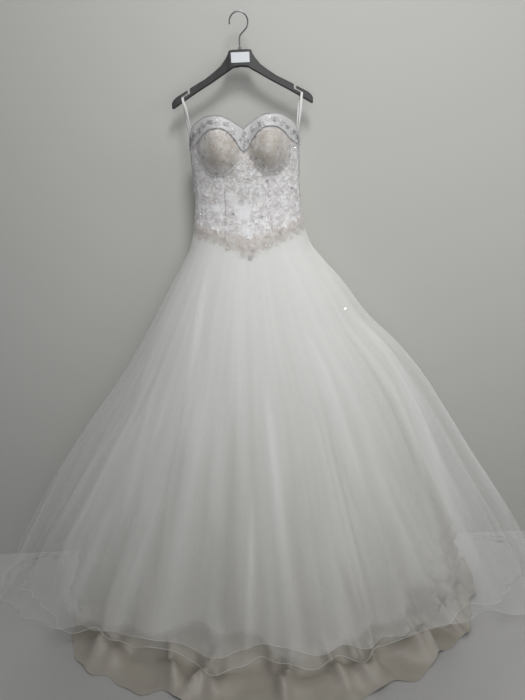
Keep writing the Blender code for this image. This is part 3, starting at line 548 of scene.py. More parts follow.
def scroll_shape():
    """A curled tendril of unit length, its end wound into a spiral."""
    share = np.linspace(0, 1, 15)
    wind = 2.2 * np.pi * share**1.4
    reach = 0.52 * (1 - 0.72 * share)
    middle = np.stack([0.42 - reach * np.cos(wind), -reach * np.sin(wind)], axis=-1)
    along = np.gradient(middle, axis=0)
    along /= np.linalg.norm(along, axis=1, keepdims=True)
    beside = np.stack([-along[:, 1], along[:, 0]], axis=-1)
    half = 0.045 * (1.1 - 0.6 * share)[:, None]
    rows = np.stack([middle - beside * half, middle, middle + beside * half], axis=1)
    height = np.array([0.0, 0.07, 0.0])[None, :, None] + 0 * rows[..., :1]
    return np.concatenate([rows, height], axis=-1).reshape(-1, 3), patch_faces(15, 3)


def bead_shape(sides=6, rings=3):
    """A unit dome, as half of a bead that sits on the cloth."""
    rise = np.linspace(0, np.pi / 2 * 0.9, rings)[:, None]
    turn = np.linspace(0, 2 * np.pi, sides + 1)[None, :]
    corners = np.stack([np.cos(rise) * np.cos(turn), np.cos(rise) * np.sin(turn), np.sin(rise) + 0 * turn], -1)
    return corners.reshape(-1, 3), patch_faces(rings, sides + 1)


def turned_shape(corners, degrees, size, place=(0.0, 0.0)):
    """A shape's corners turned in the cloth's plane, sized and moved."""
    cos, sin = math.cos(math.radians(degrees)), math.sin(math.radians(degrees))
    across = corners[:, 0] * cos - corners[:, 1] * sin
    down = corners[:, 0] * sin + corners[:, 1] * cos
    return np.stack([across * size + place[0], down * size + place[1], corners[:, 2] * size], axis=-1)


def flower_shapes(petals):
    """The petals of an open flower of unit radius."""
    corners, faces = petal_shape()
    return [(turned_shape(corners, 360 * i / petals, 1.0), faces) for i in range(petals)]


def laid_on(shape, corners, spots, lift):
    """Corners of a shape laid on a cloth at each spot, as (spots, corners, 3)."""
    made = np.array([[spot.angle, spot.run, spot.size, spot.turn] for spot in spots], float)
    angle, run, size, turn = (made[:, i, None] for i in range(4))
    step = np.linalg.norm(shape(angle + 0.5, run) - shape(angle - 0.5, run), axis=-1)
    cos, sin = np.cos(np.radians(turn)), np.sin(np.radians(turn))
    across = (corners[None, :, 0] * cos - corners[None, :, 1] * sin) * size
    down = (corners[None, :, 0] * sin + corners[None, :, 1] * cos) * size
    return moved_out(shape, angle + across / step, run + down, lift + corners[None, :, 2] * size)


def node_tree(name):
    made = bpy.data.materials.new(name)
    made.use_nodes = True
    return made, made.node_tree, made.node_tree.nodes["Principled BSDF"]


def plain_finish(name, colour, roughness, metallic=0.0, coat=0.0, sheen=0.0):
    """A material with the values that are the same all over it."""
    made, tree, shader = node_tree(name)
    shader.inputs["Base Color"].default_value = (*colour, 1.0)
    shader.inputs["Roughness"].default_value = roughness
    shader.inputs["Metallic"].default_value = metallic
    shader.inputs["Coat Weight"].default_value = coat
    shader.inputs["Coat Roughness"].default_value = 0.1
    shader.inputs["Sheen Weight"].default_value = sheen
    return made, tree, shader


def effect_group(name, inputs, outputs):
    """An empty shader node group with named sockets."""
    group = bpy.data.node_groups.new(name, "ShaderNodeTree")
    for label, kind, value in inputs:
        socket = group.interface.new_socket(label, in_out="INPUT", socket_type=kind)
        if kind == "NodeSocketFloat":
            socket.default_value = value
    for label, kind in outputs:
        group.interface.new_socket(label, in_out="OUTPUT", socket_type=kind)
    return group, group.nodes.new("NodeGroupInput"), group.nodes.new("NodeGroupOutput")


def math_node(tree, kind, first, second, clamp=False):
    node = tree.nodes.new("ShaderNodeMath")
    node.operation = kind
    node.use_clamp = clamp
    for socket, value in zip(node.inputs, (first, second)):
        if isinstance(value, (int, float)):
            socket.default_value = value
        else:
            tree.links.new(value, socket)
    return node.outputs[0]


def noise_node(tree, vector, scale, detail=3.0, stretch=(1.0, 1.0, 1.0)):
    """Noise on a vector, drawn out by stretch."""
    mapping = tree.nodes.new("ShaderNodeMapping")
    mapping.inputs["Scale"].default_value = stretch
    tree.links.new(vector, mapping.inputs["Vector"])
    node = tree.nodes.new("ShaderNodeTexNoise")
    node.inputs["Scale"].default_value = scale
    node.inputs["Detail"].default_value = detail
    tree.links.new(mapping.outputs["Vector"], node.inputs["Vector"])
    return node.outputs["Fac"]


def soft_range(tree, value, start, end):
    """Eases from 0 where a value is at start to 1 where it is at end."""
    node = tree.nodes.new("ShaderNodeMapRange")
    node.interpolation_type = "SMOOTHSTEP"
    node.inputs["From Min"].default_value = start
    node.inputs["From Max"].default_value = end
    tree.links.new(value, node.inputs["Value"])
    return node.outputs["Result"]


def build_net_group():
    """Net cloth: how much of it covers, by where it is gathered, in streaks and in its own cells; its tone is lighter
    on ridges and darker in valleys, a painted highlight and painted shade of the folds.
    """
    group, into, out = effect_group(
        "net_cover",
        [
            ("Cloth", "NodeSocketVector", None),
            ("Gathered", "NodeSocketFloat", 0.0),
            ("Cover at Waist", "NodeSocketFloat", 0.8),
            ("Cover at Hem", "NodeSocketFloat", 0.4),
            ("Streaks", "NodeSocketFloat", 0.3),
            ("Single", "NodeSocketFloat", 0.0),
        ],
        [("Cover", "NodeSocketFloat"), ("Tone", "NodeSocketFloat"), ("Height", "NodeSocketFloat")],
    )
    cloth = into.outputs["Cloth"]
    place = group.nodes.new("ShaderNodeSeparateXYZ")
    group.links.new(cloth, place.inputs[0])
    down = group.nodes.new("ShaderNodeMapRange")
    down.inputs["From Min"].default_value = 0.58
    down.inputs["From Max"].default_value = 1.70
    group.links.new(place.outputs["Y"], down.inputs["Value"])
    group.links.new(into.outputs["Cover at Waist"], down.inputs["To Min"])
    group.links.new(into.outputs["Cover at Hem"], down.inputs["To Max"])
    streak = noise_node(group, cloth, 1.0, 3.0, (12.0, 0.9, 1.0))
    cloud = noise_node(group, cloth, 1.0, 2.0, (4.0, 2.5, 1.0))
    both = math_node(group, "ADD", math_node(group, "MULTIPLY", streak, 0.7), math_node(group, "MULTIPLY", cloud, 0.3))
    sway = math_node(group, "SUBTRACT", both, 0.5)
    grown = soft_range(group, place.outputs["Y"], 0.60, 1.05)
    grown = math_node(group, "ADD", math_node(group, "MULTIPLY", grown, 0.75), 0.25)
    pulled = math_node(group, "MULTIPLY", math_node(group, "MULTIPLY", sway, into.outputs["Streaks"]), grown)
    cells = group.nodes.new("ShaderNodeTexVoronoi")
    cells.feature = "DISTANCE_TO_EDGE"
    cells.inputs["Scale"].default_value = 620.0
    group.links.new(cloth, cells.inputs["Vector"])
    thread = math_node(group, "LESS_THAN", cells.outputs["Distance"], 0.16)
    held = math_node(group, "MULTIPLY", math_node(group, "SUBTRACT", thread, 0.5), 0.10)
    folded = math_node(group, "MULTIPLY", into.outputs["Gathered"], 0.055)
    single = math_node(group, "MULTIPLY", into.outputs["Single"], -0.80)
    plain = math_node(group, "ADD", down.outputs["Result"], pulled)
    plain = math_node(group, "MULTIPLY", plain, math_node(group, "ADD", single, 1.0))
    cover = math_node(group, "ADD", math_node(group, "ADD", plain, folded), held, True)
    tone = noise_node(group, cloth, 1.0, 2.0, (8.0, 1.0, 1.0))
    tone = math_node(group, "ADD", math_node(group, "MULTIPLY", math_node(group, "SUBTRACT", tone, 0.5), grown), 0.5)
    # Painted highlight on the ridges and painted shade in the valleys of the folds, laid into the net's tone
    lit = math_node(group, "MULTIPLY", into.outputs["Gathered"], 0.24)
    group.links.new(math_node(group, "ADD", tone, lit, True), out.inputs["Tone"])
    group.links.new(cover, out.inputs["Cover"])
    group.links.new(thread, out.inputs["Height"])
    return group


def build_weave_group():
    """Satin: a fine slanted weave and the soft unevenness of pressed cloth."""
    group, into, out = effect_group(
        "satin_weave",
        [("Place", "NodeSocketVector", None), ("Threads", "NodeSocketFloat", 1400.0)],
        [("Tone", "NodeSocketFloat"), ("Height", "NodeSocketFloat")],
    )
    place = into.outputs["Place"]
    wave = group.nodes.new("ShaderNodeTexWave")
    wave.bands_direction = "DIAGONAL"
    wave.inputs["Distortion"].default_value = 0.6
    group.links.new(place, wave.inputs["Vector"])
    group.links.new(into.outputs["Threads"], wave.inputs["Scale"])
    soft = noise_node(group, place, 14.0, 3.0)
    height = math_node(group, "ADD", math_node(group, "MULTIPLY", wave.outputs["Fac"], 0.25), soft)
    group.links.new(soft, out.inputs["Tone"])
    group.links.new(height, out.inputs["Height"])
    return group


def place_group(tree, group, **values):
    node = tree.nodes.new("ShaderNodeGroup")
    node.node_tree = group
    for label, value in values.items():
        socket = node.inputs[label.replace("_", " ")]
        if isinstance(value, (int, float)):
            socket.default_value = value
        else:
            tree.links.new(value, socket)
    return node


def bump_into(tree, shader, height, strength, distance):
    bump = tree.nodes.new("ShaderNodeBump")
    bump.inputs["Strength"].default_value = strength
    bump.inputs["Distance"].default_value = distance
    tree.links.new(height, bump.inputs["Height"])
    tree.links.new(bump.outputs["Normal"], shader.inputs["Normal"])


def two_tones(tree, factor, dark, light):
    mix = tree.nodes.new("ShaderNodeMix")
    mix.data_type = "RGBA"
    mix.inputs["A"].default_value = (*dark, 1.0)
    mix.inputs["B"].default_value = (*light, 1.0)
    tree.links.new(factor, mix.inputs["Factor"])
    return mix.outputs["Result"]


def tulle_finish(name, net, waist, hem, streaks, dark, light):
    made, tree, shader = plain_finish(name, light, 0.85, sheen=0.35)
    cloth = tree.nodes.new("ShaderNodeUVMap").outputs["UV"]
    gathered = tree.nodes.new("ShaderNodeAttribute")
    gathered.attribute_name = "gathered"
    single = tree.nodes.new("ShaderNodeAttribute")
    single.attribute_name = "single"
    cover = place_group(
        tree,
        net,
        Cloth=cloth,
        Gathered=gathered.outputs["Fac"],
        Cover_at_Waist=waist,
        Cover_at_Hem=hem,
        Streaks=streaks,
        Single=single.outputs["Fac"],
    )
    tree.links.new(two_tones(tree, cover.outputs["Tone"], dark, light), shader.inputs["Base Color"])
    tree.links.new(cover.outputs["Cover"], shader.inputs["Alpha"])
    bump_into(tree, shader, cover.outputs["Height"], 0.15, 0.0003)
    return made


def satin_finish(name, weave, dark, light, roughness, strength=0.25):
    made, tree, shader = plain_finish(name, light, roughness, sheen=0.15)
    place = tree.nodes.new("ShaderNodeTexCoord").outputs["Object"]
    cloth = place_group(tree, weave, Place=place)
    tree.links.new(two_tones(tree, cloth.outputs["Tone"], dark, light), shader.inputs["Base Color"])
    bump_into(tree, shader, cloth.outputs["Height"], strength, 0.0006)
    return made


def vector_node(tree, kind, first, second=(0.0, 0.0, 0.0)):
    node = tree.nodes.new("ShaderNodeVectorMath")
    node.operation = kind
    tree.links.new(first, node.inputs[0])
    node.inputs[1].default_value = second
    return node


def round_mask(tree, place, centre, half):
    """1 in the middle of a soft oval about a place across and down, and 0 outside it."""
    off = vector_node(tree, "SUBTRACT", place, (centre[0], 0.0, centre[1])).outputs["Vector"]
    sized = vector_node(tree, "MULTIPLY", off, (1 / half[0], 0.0, 1 / half[1])).outputs["Vector"]
    return soft_range(tree, vector_node(tree, "LENGTH", sized).outputs["Value"], 1.0, 0.25)


def tinted(tree, colour, mask, tint):
    mix = tree.nodes.new("ShaderNodeMix")
    mix.data_type = "RGBA"
    tree.links.new(colour, mix.inputs["A"])
    mix.inputs["B"].default_value = (*tint, 1.0)
    tree.links.new(mask, mix.inputs["Factor"])
    return mix.outputs["Result"]


def veiled_satin_finish(name):
    """White satin under grey lace net; over the cups a darker, warmer tint that is partly the nude lining's colour and
    partly painted shade, and beige near the waist.
    """
    made, tree, shader = plain_finish(name, VEIL_LIGHT, 0.55, sheen=0.2)
    place = tree.nodes.new("ShaderNodeTexCoord").outputs["Object"]
    mirrored = vector_node(tree, "ABSOLUTE", place).outputs["Vector"]
    cells = tree.nodes.new("ShaderNodeTexVoronoi")
    cells.feature = "SMOOTH_F1"
    cells.inputs["Scale"].default_value = 95.0
    wander = noise_node(tree, place, 60.0, 2.0)
    shifted = tree.nodes.new("ShaderNodeVectorMath")
    shifted.operation = "MULTIPLY_ADD"
    tree.links.new(wander, shifted.inputs[0])
    shifted.inputs[1].default_value = (0.03, 0.03, 0.03)
    tree.links.new(place, shifted.inputs[2])
    tree.links.new(shifted.outputs["Vector"], cells.inputs["Vector"])
    blots = noise_node(tree, place, 42.0, 3.0)
    mottle = math_node(tree, "ADD", math_node(tree, "MULTIPLY", cells.outputs["Distance"], 0.8), blots)
    colour = two_tones(tree, soft_range(tree, mottle, 0.55, 1.15), VEIL_LIGHT, VEIL_DARK)
    hue = noise_node(tree, place, 17.0, 2.0)
    lilac = math_node(tree, "MULTIPLY", soft_range(tree, hue, 0.45, 0.70), 0.5)
    colour = tinted(tree, colour, lilac, VEIL_LILAC)
    blotted = math_node(tree, "ADD", math_node(tree, "MULTIPLY", soft_range(tree, blots, 0.36, 0.60), 0.45), 0.50)
    # The cups are tinted darker and warmer in their middle: partly the nude lining seen through the net, partly painted
    # shade
    cup = math_node(tree, "MULTIPLY", round_mask(tree, mirrored, CUP_SHADE[:2], CUP_SHADE[2:]), blotted)
    colour = tinted(tree, colour, cup, CUP_NUDE_AND_SHADE)
    slanted = slanted_down(tree, mirrored)
    waist = math_node(tree, "MULTIPLY", soft_range(tree, slanted, 0.566, 0.600), 0.75)
    colour = tinted(tree, colour, waist, WAIST_BEIGE)
    for patch in BARE_PATCHES:
        centre = (math.radians(patch.angle) * 0.15, -patch.run)
        spot = math_node(tree, "MULTIPLY", round_mask(tree, place, centre, (patch.size, patch.size)), BARE_STRENGTH)
        colour = tinted(tree, colour, spot, BARE_WHITE)
    tree.links.new(colour, shader.inputs["Base Color"])
    net = tree.nodes.new("ShaderNodeTexVoronoi")
    net.feature = "DISTANCE_TO_EDGE"
    net.inputs["Scale"].default_value = 520.0
    tree.links.new(place, net.inputs["Vector"])
    bump_into(tree, shader, math_node(tree, "ADD", net.outputs["Distance"], mottle), 0.35, 0.0008)
    return made


def slanted_down(tree, mirrored):
    """How far down a place lies beside the pointed waist line, which rises to the sides."""
    split = tree.nodes.new("ShaderNodeSeparateXYZ")
    tree.links.new(mirrored, split.inputs[0])
    return math_node(tree, "ADD", split.outputs["Z"], math_node(tree, "MULTIPLY", split.outputs["X"], 0.42))


def lace_edge_finish(name):
    """Net lace that thins out in blots below the waist seam."""
    made, tree, shader = plain_finish(name, LACE_EDGE_LIGHT, 0.7, sheen=0.3)
    place = tree.nodes.new("ShaderNodeTexCoord").outputs["Object"]
    down = slanted_down(tree, vector_node(tree, "ABSOLUTE", place).outputs["Vector"])
    blots = noise_node(tree, place, 75.0, 4.0)
    ragged = math_node(tree, "ADD", down, math_node(tree, "MULTIPLY", blots, 0.050))
    cover = math_node(tree, "MULTIPLY", soft_range(tree, ragged, 0.662, 0.620), 0.75)
    tree.links.new(cover, shader.inputs["Alpha"])
    tone = two_tones(tree, soft_range(tree, blots, 0.35, 0.65), LACE_EDGE_DARK, LACE_EDGE_LIGHT)
    tree.links.new(tone, shader.inputs["Base Color"])
    bump_into(tree, shader, blots, 0.3, 0.0008)
    return made


def build_finishes():
    """Every finish of the gown and its hanger, by name."""
    net, weave = build_net_group(), build_weave_group()
    made = {
        "outer_tulle": tulle_finish("sheer_tulle", net, 0.50, 0.10, 0.35, (0.66, 0.67, 0.64), (0.92, 0.92, 0.90)),
        "waved_tulle": tulle_finish("waved_tulle", net, 0.78, 0.22, 0.50, (0.64, 0.65, 0.61), (0.92, 0.92, 0.89)),
        "lace_net": lace_edge_finish("lace_edge_net"),
        # The skirt's white satin is given a dark grey-beige colour: painted shade of the tulle and skirt above it
        "skirt_satin_painted_shade": satin_finish("skirt_satin_painted_shade", weave, (0.245, 0.225, 0.19), (0.36, 0.335, 0.285), 0.50),
        "bodice_satin": veiled_satin_finish("veiled_satin"),
        "band_satin": satin_finish("band_satin", weave, (0.45, 0.445, 0.44), (0.53, 0.525, 0.52), 0.5),
        "ribbon_satin": satin_finish("ribbon_satin", weave, (0.56, 0.555, 0.54), (0.66, 0.655, 0.64), 0.45),
        "silver_thread": plain_finish("silver_thread", (0.52, 0.495, 0.475), 0.55, sheen=0.2)[0],
        "pale_thread": plain_finish("pale_thread", (0.70, 0.695, 0.69), 0.6, sheen=0.2)[0],
        "waist_thread": plain_finish("waist_thread", (0.54, 0.49, 0.44), 0.5, sheen=0.2)[0],
        "band_thread": plain_finish("band_thread", (0.34, 0.33, 0.33), 0.45, 0.2)[0],
        "beads": plain_finish("silver_bead", (0.42, 0.42, 0.43), 0.30, 0.5)[0],
        "stone": plain_finish("clear_stone", (0.92, 0.93, 0.95), 0.06, 0.9)[0],
        "edge_cord": plain_finish("edge_cord", (0.58, 0.58, 0.55), 0.7)[0],
        "plastic": plain_finish("black_plastic", (0.020, 0.020, 0.021), 0.34, coat=0.15)[0],
        "steel": plain_finish("dark_steel", (0.20, 0.20, 0.21), 0.28, 0.95)[0],
        "plate": plain_finish("blank_metal_plate", (0.56, 0.58, 0.60), 0.35, 0.3)[0],
        "zip": plain_finish("zip_metal", (0.80, 0.79, 0.76), 0.32, 0.95)[0],
    }
    return made


def camera():
    data = bpy.data.cameras.new("camera")
    data.sensor_width = 36.0
    data.lens = FOCAL_PIXELS / FRAME_HEIGHT * data.sensor_width
    made = bpy.data.objects.new("camera", data)
    bpy.context.scene.collection.objects.link(made)
    turn = Matrix.Rotation(math.radians(90 - CAMERA_DOWN), 4, "X") @ Matrix.Rotation(math.radians(-CAMERA_ROLL), 4, "Z")
    made.matrix_world = Matrix.Translation(CAMERA_PLACE) @ turn
    bpy.context.scene.camera = made


def area_light(name, place, aim, size, power, spread=180):
    data = bpy.data.lights.new(name, "AREA")
    data.shape = "SQUARE"
    data.size = size
    data.energy = power
    data.spread = math.radians(spread)
    made = bpy.data.objects.new(name, data)
    bpy.context.scene.collection.objects.link(made)
    made.location = place
    made.rotation_euler = (Vector(aim) - Vector(place)).to_track_quat("-Z", "Y").to_euler()
    made.visible_camera = False


def stage_plane(name, corners, finish):
    mesh = bpy.data.meshes.new(name)
    mesh.from_pydata(corners, [], [(0, 1, 2, 3)])
    made = bpy.data.objects.new(name, mesh)
    bpy.context.scene.collection.objects.link(made)
    made.data.materials.append(finish)
    return made


def clear_from_behind(finish):
    """Makes the backdrop vanish when it is looked at from its back."""
    tree = finish.node_tree
    out = tree.nodes["Material Output"]
    shader = tree.nodes["Principled BSDF"]
    facing = tree.nodes.new("ShaderNodeNewGeometry")
    clear = tree.nodes.new("ShaderNodeBsdfTransparent")
    mix = tree.nodes.new("ShaderNodeMixShader")
    tree.links.new(facing.outputs["Backfacing"], mix.inputs["Fac"])
    tree.links.new(shader.outputs["BSDF"], mix.inputs[1])
    tree.links.new(clear.outputs["BSDF"], mix.inputs[2])
    tree.links.new(mix.outputs["Shader"], out.inputs["Surface"])


def stage():
    """The floor, the wall and the soft lights."""
    low, far = -FLOOR_RUN, ROOM_HALF
    floor_finish = plain_finish("pale_floor", (0.35, 0.345, 0.335), 0.40)[0]
    wall_finish = plain_finish("pale_wall", (0.44, 0.44, 0.415), 0.9)[0]
    clear_from_behind(wall_finish)
    stage_plane("floor", [(-far, -far, low), (far, -far, low), (far, far, low), (-far, far, low)], floor_finish)
    high = low + ROOM_HEIGHT
    wall = [(-far, WALL_Y, low), (far, WALL_Y, low), (far, WALL_Y, high), (-far, WALL_Y, high)]
    backdrop = stage_plane("wall", wall, wall_finish)
    backdrop.visible_shadow = False
    area_light("ceiling_light", (0.32, -1.25, 1.20), (0.1, 0.0, -0.5), 0.5, 13.5, spread=140)
    area_light("room_light", (0.9, -3.2, 0.8), (0.3, 0.0, -0.6), 2.4, 12.5, spread=110)
    area_light("side_light", (1.9, -1.3, 0.0), (0.9, 0.0, -0.7), 0.9, 3.5, spread=120)
    area_light("low_light", (0.3, -2.4, -0.9), (0.1, 0.0, -0.2), 1.4, 2.5, spread=90)
    area_light("back_light", (0.6, 2.8, 1.3), (0.0, 0.0, -0.6), 1.6, 22.0, spread=100)
    world = bpy.data.worlds.new("soft_room")
    world.use_nodes = True
    world.node_tree.nodes["Background"].inputs["Color"].default_value = (0.92, 0.94, 1.0, 1.0)
    world.node_tree.nodes["Background"].inputs["Strength"].default_value = 0.27
    bpy.context.scene.world = world
    bpy.context.scene.view_settings.view_transform = "Standard"


OUTER = Layer(
    "outer_tulle_cloth", "outer_tulle", OUTER_TULLE, OUTER_HEM,
    0.0024, 1.0, 0.006, TULLE_WALL, CREASES, 0.65, 0.003,
)
WAVED = Layer(
    "waved_tulle_cloth", "waved_tulle", WAVED_TULLE, WAVED_HEM,
    0.0042, 0.85, 0.012, TULLE_WALL, CREASES, 0.65, 0.005,
)
LINING = Layer(
    "satin_skirt_cloth", "satin_skirt", SATIN, SATIN_HEM,
    0.0060, 0.45, 0.008, SATIN_WALL, SATIN_CREASES, 1.0, 0.002,
)


def skirt_grid(layer, columns, rows, ripple):
    """Angles and runs of a skirt layer's rows, with its hem rising and falling by ripple."""
    angle = np.linspace(-180, 180, columns, endpoint=False)
    rad = np.radians(angle)
    in_front = ease((118 - np.abs(angle)) / 30)
    hem = edge_run(layer.hem, angle)
    hem = hem + ripple * in_front * (0.7 * np.sin(17 * rad + 1.9 * np.sin(4 * rad + 1)) + 0.3 * np.sin(49 * rad))
    for dip in HEM_DIPS:
        hem = hem + ripple / WAVED_RIPPLE * dip.down * np.exp(-(((angle - dip.angle) / dip.half_width) ** 2))
    hem = hem - LEFT_SHORTER * ease((-48 - angle) / 16) * (np.abs(angle) < 118)
    top = edge_run(WAIST, angle) - 0.012
    share = np.linspace(0, 1, rows)[:, None] ** 1.05
    return angle + 0 * share, top + (hem - top) * share


def skirt(layer, finish, slot, columns, rows, ripple, cut):
    angle, run = skirt_grid(layer, columns, rows, ripple)
    points = skirt_point(layer, angle, run)
    mesh = grid_mesh(layer.name, points, True, (angle / 360 * cut.width, run))
    if slot == "tulle":
        soften(mesh, points, section_point(layer.table, angle, run))
        for name, values in (("gathered", gathered_share(angle, run)), ("single", single_share(layer, angle, run))):
            mesh.attributes.new(name, "FLOAT", "POINT").data.foreach_set("value", values.reshape(-1).astype(np.float32))
    made = piece(layer.name, mesh, finish)
    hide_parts(layer.node)
    return points


def skirts(finish):
    for layer, ripple, radius in ((OUTER, OUTER_RIPPLE, 0.0004), (WAVED, WAVED_RIPPLE, 0.0006)):
        angle, run = skirt_grid(layer, 720, 2, ripple)
        hem = skirt_point(layer, angle, run)[-1]
        hem[:, 2] = np.maximum(hem[:, 2], -FLOOR_RUN + 2 * radius)
        name = layer.node + "_edge"
        piece(name, tube_mesh(name, hem, radius, True, 5), finish["edge_cord"])
    skirt(OUTER, finish["outer_tulle"], "tulle", 600, 110, OUTER_RIPPLE, Cut(5.0, 1.26, 4.1))
    skirt(WAVED, finish["waved_tulle"], "tulle", 600, 90, WAVED_RIPPLE, Cut(4.6, 1.22, 3.7))
    skirt(LINING, finish["skirt_satin_painted_shade"], "satin", 420, 90, SATIN_RIPPLE, Cut(4.0, 1.26, 3.3))


def panel_mesh(name, panel, way):
    """A panel of the bodice between two angles and two cut edges, to the right for way 1."""
    first, last = sorted((panel.near * way, panel.far * way))
    angle = np.linspace(first, last, max(3, round(abs(last - first) / 1.5)) + 1)
    angle[0] += SEAM_TURN
    angle[-1] -= SEAM_TURN
    upper = edge_run(panel.top, angle) + SEAM_GAP / 2
    lower = edge_run(panel.bottom, angle) - SEAM_GAP / 2
    share = np.linspace(0, 1, 40)[:, None]
    run = upper + (lower - upper) * share
    angle = angle + 0 * share
    return grid_mesh(name, bodice_point(angle, run), False, (angle / 360 * 0.86, run))


def bodice(finish):
    princess, cup_end, side_seam, back_seam = PANEL_SEAMS
    panels = [
        Panel("front_centre", -princess, princess, UNDER_BUST, WAIST, "bodice_satin"),
        Panel("neck_band", 0, side_seam, NECKLINE, CUP_LINE, "band_satin"),
        Panel("cup", 0, cup_end, CUP_LINE, UNDER_BUST, "bodice_satin"),
        Panel("front_side", princess, cup_end, UNDER_BUST, WAIST, "bodice_satin"),
        Panel("side", cup_end, side_seam, CUP_LINE, WAIST, "bodice_satin"),
        Panel("back", side_seam, back_seam, NECKLINE, WAIST, "bodice_satin"),
    ]
    for panel in panels:
        sides = ((1, ""),) if panel.near < 0 else ((-1, "_left"), (1, "_right"))
        for way, side in sides:
            node = panel.name + side
            mesh = panel_mesh(node + "_cloth", panel, way)
            made = piece(node + "_cloth", mesh, finish[panel.finish])
            wall_of(made, BODICE_WALL)
            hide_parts(node)


def waist_lace(finish):
    """The net edge of the lace over the waist seam."""
    angle = np.arange(0, 360, 1.0)
    scallop = 0.005 * np.sin(np.radians(angle) * 30)
    share = np.linspace(0, 1, 8)[:, None]
    run = edge_run(WAIST, angle) - 0.014 + (0.040 + scallop) * share
    angle = angle + 0 * run
    points = moved_out(lace_ground, angle, run, 0.0004)
    mesh = grid_mesh("waist_lace_cloth", points, True, (angle / 360 * 0.9, run))
    made = piece("waist_lace_cloth", mesh, finish["lace_net"])
    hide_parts("waist_lace")


def ribbon_path(way):
    """Middles and half widths of a ribbon loop: up one strand, over the bar and down the other."""
    rise = []
    share = np.linspace(0, len(RIBBON) - 1, 40)
    rows = [smooth(share, range(len(RIBBON)), [getattr(knot, name) for knot in RIBBON]) for name in Knot._fields]
    for x, y, z, apart_by, twist in zip(*rows):
        turn = math.radians(twist)
        lean = math.radians(SLOT_SLOPE) * math.sin(turn) ** 2
        flat = Vector((math.cos(lean), 0, -way * math.sin(lean)))
        width = math.cos(turn) * Vector((0, 1, 0)) * way + math.sin(turn) * flat
        apart = math.cos(turn) * Vector((way, 0, 0)) - math.sin(turn) * Vector((0, way, 0))
        rise.append((Vector((way * x, y, z)), width * RIBBON_WIDTH / 2, apart * apart_by))
    points = [middle + apart for middle, width, apart in rise]
    widths = [width for middle, width, apart in rise]
    top = Vector((way * RIBBON_X, 0, RIBBON_TOP))
    corner = rise[-1][2] * (1 - RIBBON_ROUND / RIBBON_OVER)
    points += [top + corner, top - corner] + [middle - apart for middle, width, apart in reversed(rise)]
    widths += [widths[-1]] * 2 + widths[::-1]
    return points, widths


def ribbons(finish):
    for way, side in ((-1, "left"), (1, "right")):
        points, widths = ribbon_path(way)
        strips = [[p + w * across for p, w in zip(points, widths)] for across in (-1, -0.5, 0, 0.5, 1)]
        name = f"ribbon_loop_{side}_cloth"
        mesh = grid_mesh(name, np.array(strips), True)
        made = piece(name, mesh, finish["ribbon_satin"])
        wall_of(made, RIBBON_WALL).modifiers["wall"].offset = 0.0
        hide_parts(f"ribbon_loop_{side}")


def bead_rows(finish):
    """The beaded piping on the neckline's edge and over the seam between the band and the cups."""
    corners, faces = bead_shape(6, 3)
    whole = np.concatenate([corners, corners * [1, 1, -1]])
    faces = np.concatenate([faces, faces[:, ::-1] + len(corners)])
    lines = {
        "neckline_piping": (np.linspace(0, 360, 4000, endpoint=False), NECKLINE, -BODICE_WALL / 2, 0.0018),
        "cup_piping": (np.linspace(-84, 84, 2000), CUP_LINE, 0.0022, 0.0),
        "side_bead_row_left": (np.linspace(-80, -62, 500), None, 0.0006, 0.0),
        "side_bead_row_right": (np.linspace(80, 83, 500), None, 0.0006, 0.0),
    }
    for name, (angle, edge, out, rise) in lines.items():
        run = edge_run(edge, angle) if edge else np.linspace(0.342, 0.470, 500)
        line = moved_out(bodice_point, angle, run, np.full(angle.shape, out))
        line[:, 2] += rise
        along = np.concatenate([[0], np.cumsum(np.linalg.norm(np.diff(line, axis=0), axis=1))])
        heap = Heap()
        for spacing, radius, across in ((0.0024, 0.0012, 0.0), (0.0020, 0.0006, 0.0014)):
            at = np.arange(0, along[-1], spacing)
            spots = np.stack([np.interp(at, along, line[:, i]) for i in range(3)], axis=-1)
            for shift in (-across, across) if across else (0.0,):
                middle = spots + np.array([0, -0.0003 if across else 0, shift])
                heap.add(middle[:, None] + whole[None] * radius, faces)
        made = piece(name + "_beads", heap.mesh(name + "_beads"), finish["beads"])
        if edge:
            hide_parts(name)


def arc_angles():
    """Angles round the bodice, with how far round each one lies in metres, at mid height."""
    angle = np.linspace(-180, 180, 1441)
    line = section_point(BODICE, angle, LACE_ROUND_RUN)
    along = np.concatenate([[0], np.cumsum(np.linalg.norm(np.diff(line, axis=0), axis=1))])
    return angle, along


def scatter(rng, spacing, top, bottom):
    """Places on the bodice between two cut edges, on a jittered grid of an even spacing."""
    angles, along = arc_angles()
    spots = []
    count = round(along[-1] / spacing)
    for row, run in enumerate(np.arange(0.25, 0.66, spacing * 0.86)):
        for i in range(count):
            place = (i + 0.5 * (row % 2) + rng.uniform(-0.28, 0.28)) / count * along[-1]
            angle = float(np.interp(place % along[-1], along, angles))
            down = run + rng.uniform(-0.28, 0.28) * spacing
            if edge_run(top, angle) + 0.003 < down < edge_run(bottom, angle):
                spots.append((angle, down))
    return spots


def bare(angle, run):
    """Whether a place lies beside the zip or in one of the satin patches that the lace leaves free."""
    beside_zip = abs(turned(angle - 180)) < ZIP_CLEAR
    return beside_zip or any(
        math.hypot(turned(angle - patch.angle) * 0.0024, run - patch.run) < patch.size * BARE_SHARE
        for patch in BARE_PATCHES
    )


def on_cup(rng, angle, run):
    """Whether a place has the cups' darker lace, which ends raggedly round their lower edge."""
    ragged = rng.uniform(-0.020, 0.032)
    return abs(turned(angle)) < 60 + 300 * ragged and run < edge_run(UNDER_BUST, angle) + ragged


def pale_thread(angle, run):
    """The lace's lighter thread, which is beige close to the waist seam."""
    reach = 0.016 + 0.016 * math.exp(-((angle / 15) ** 2))
    return "waist" if run > edge_run(WAIST, angle) - reach else "pale"


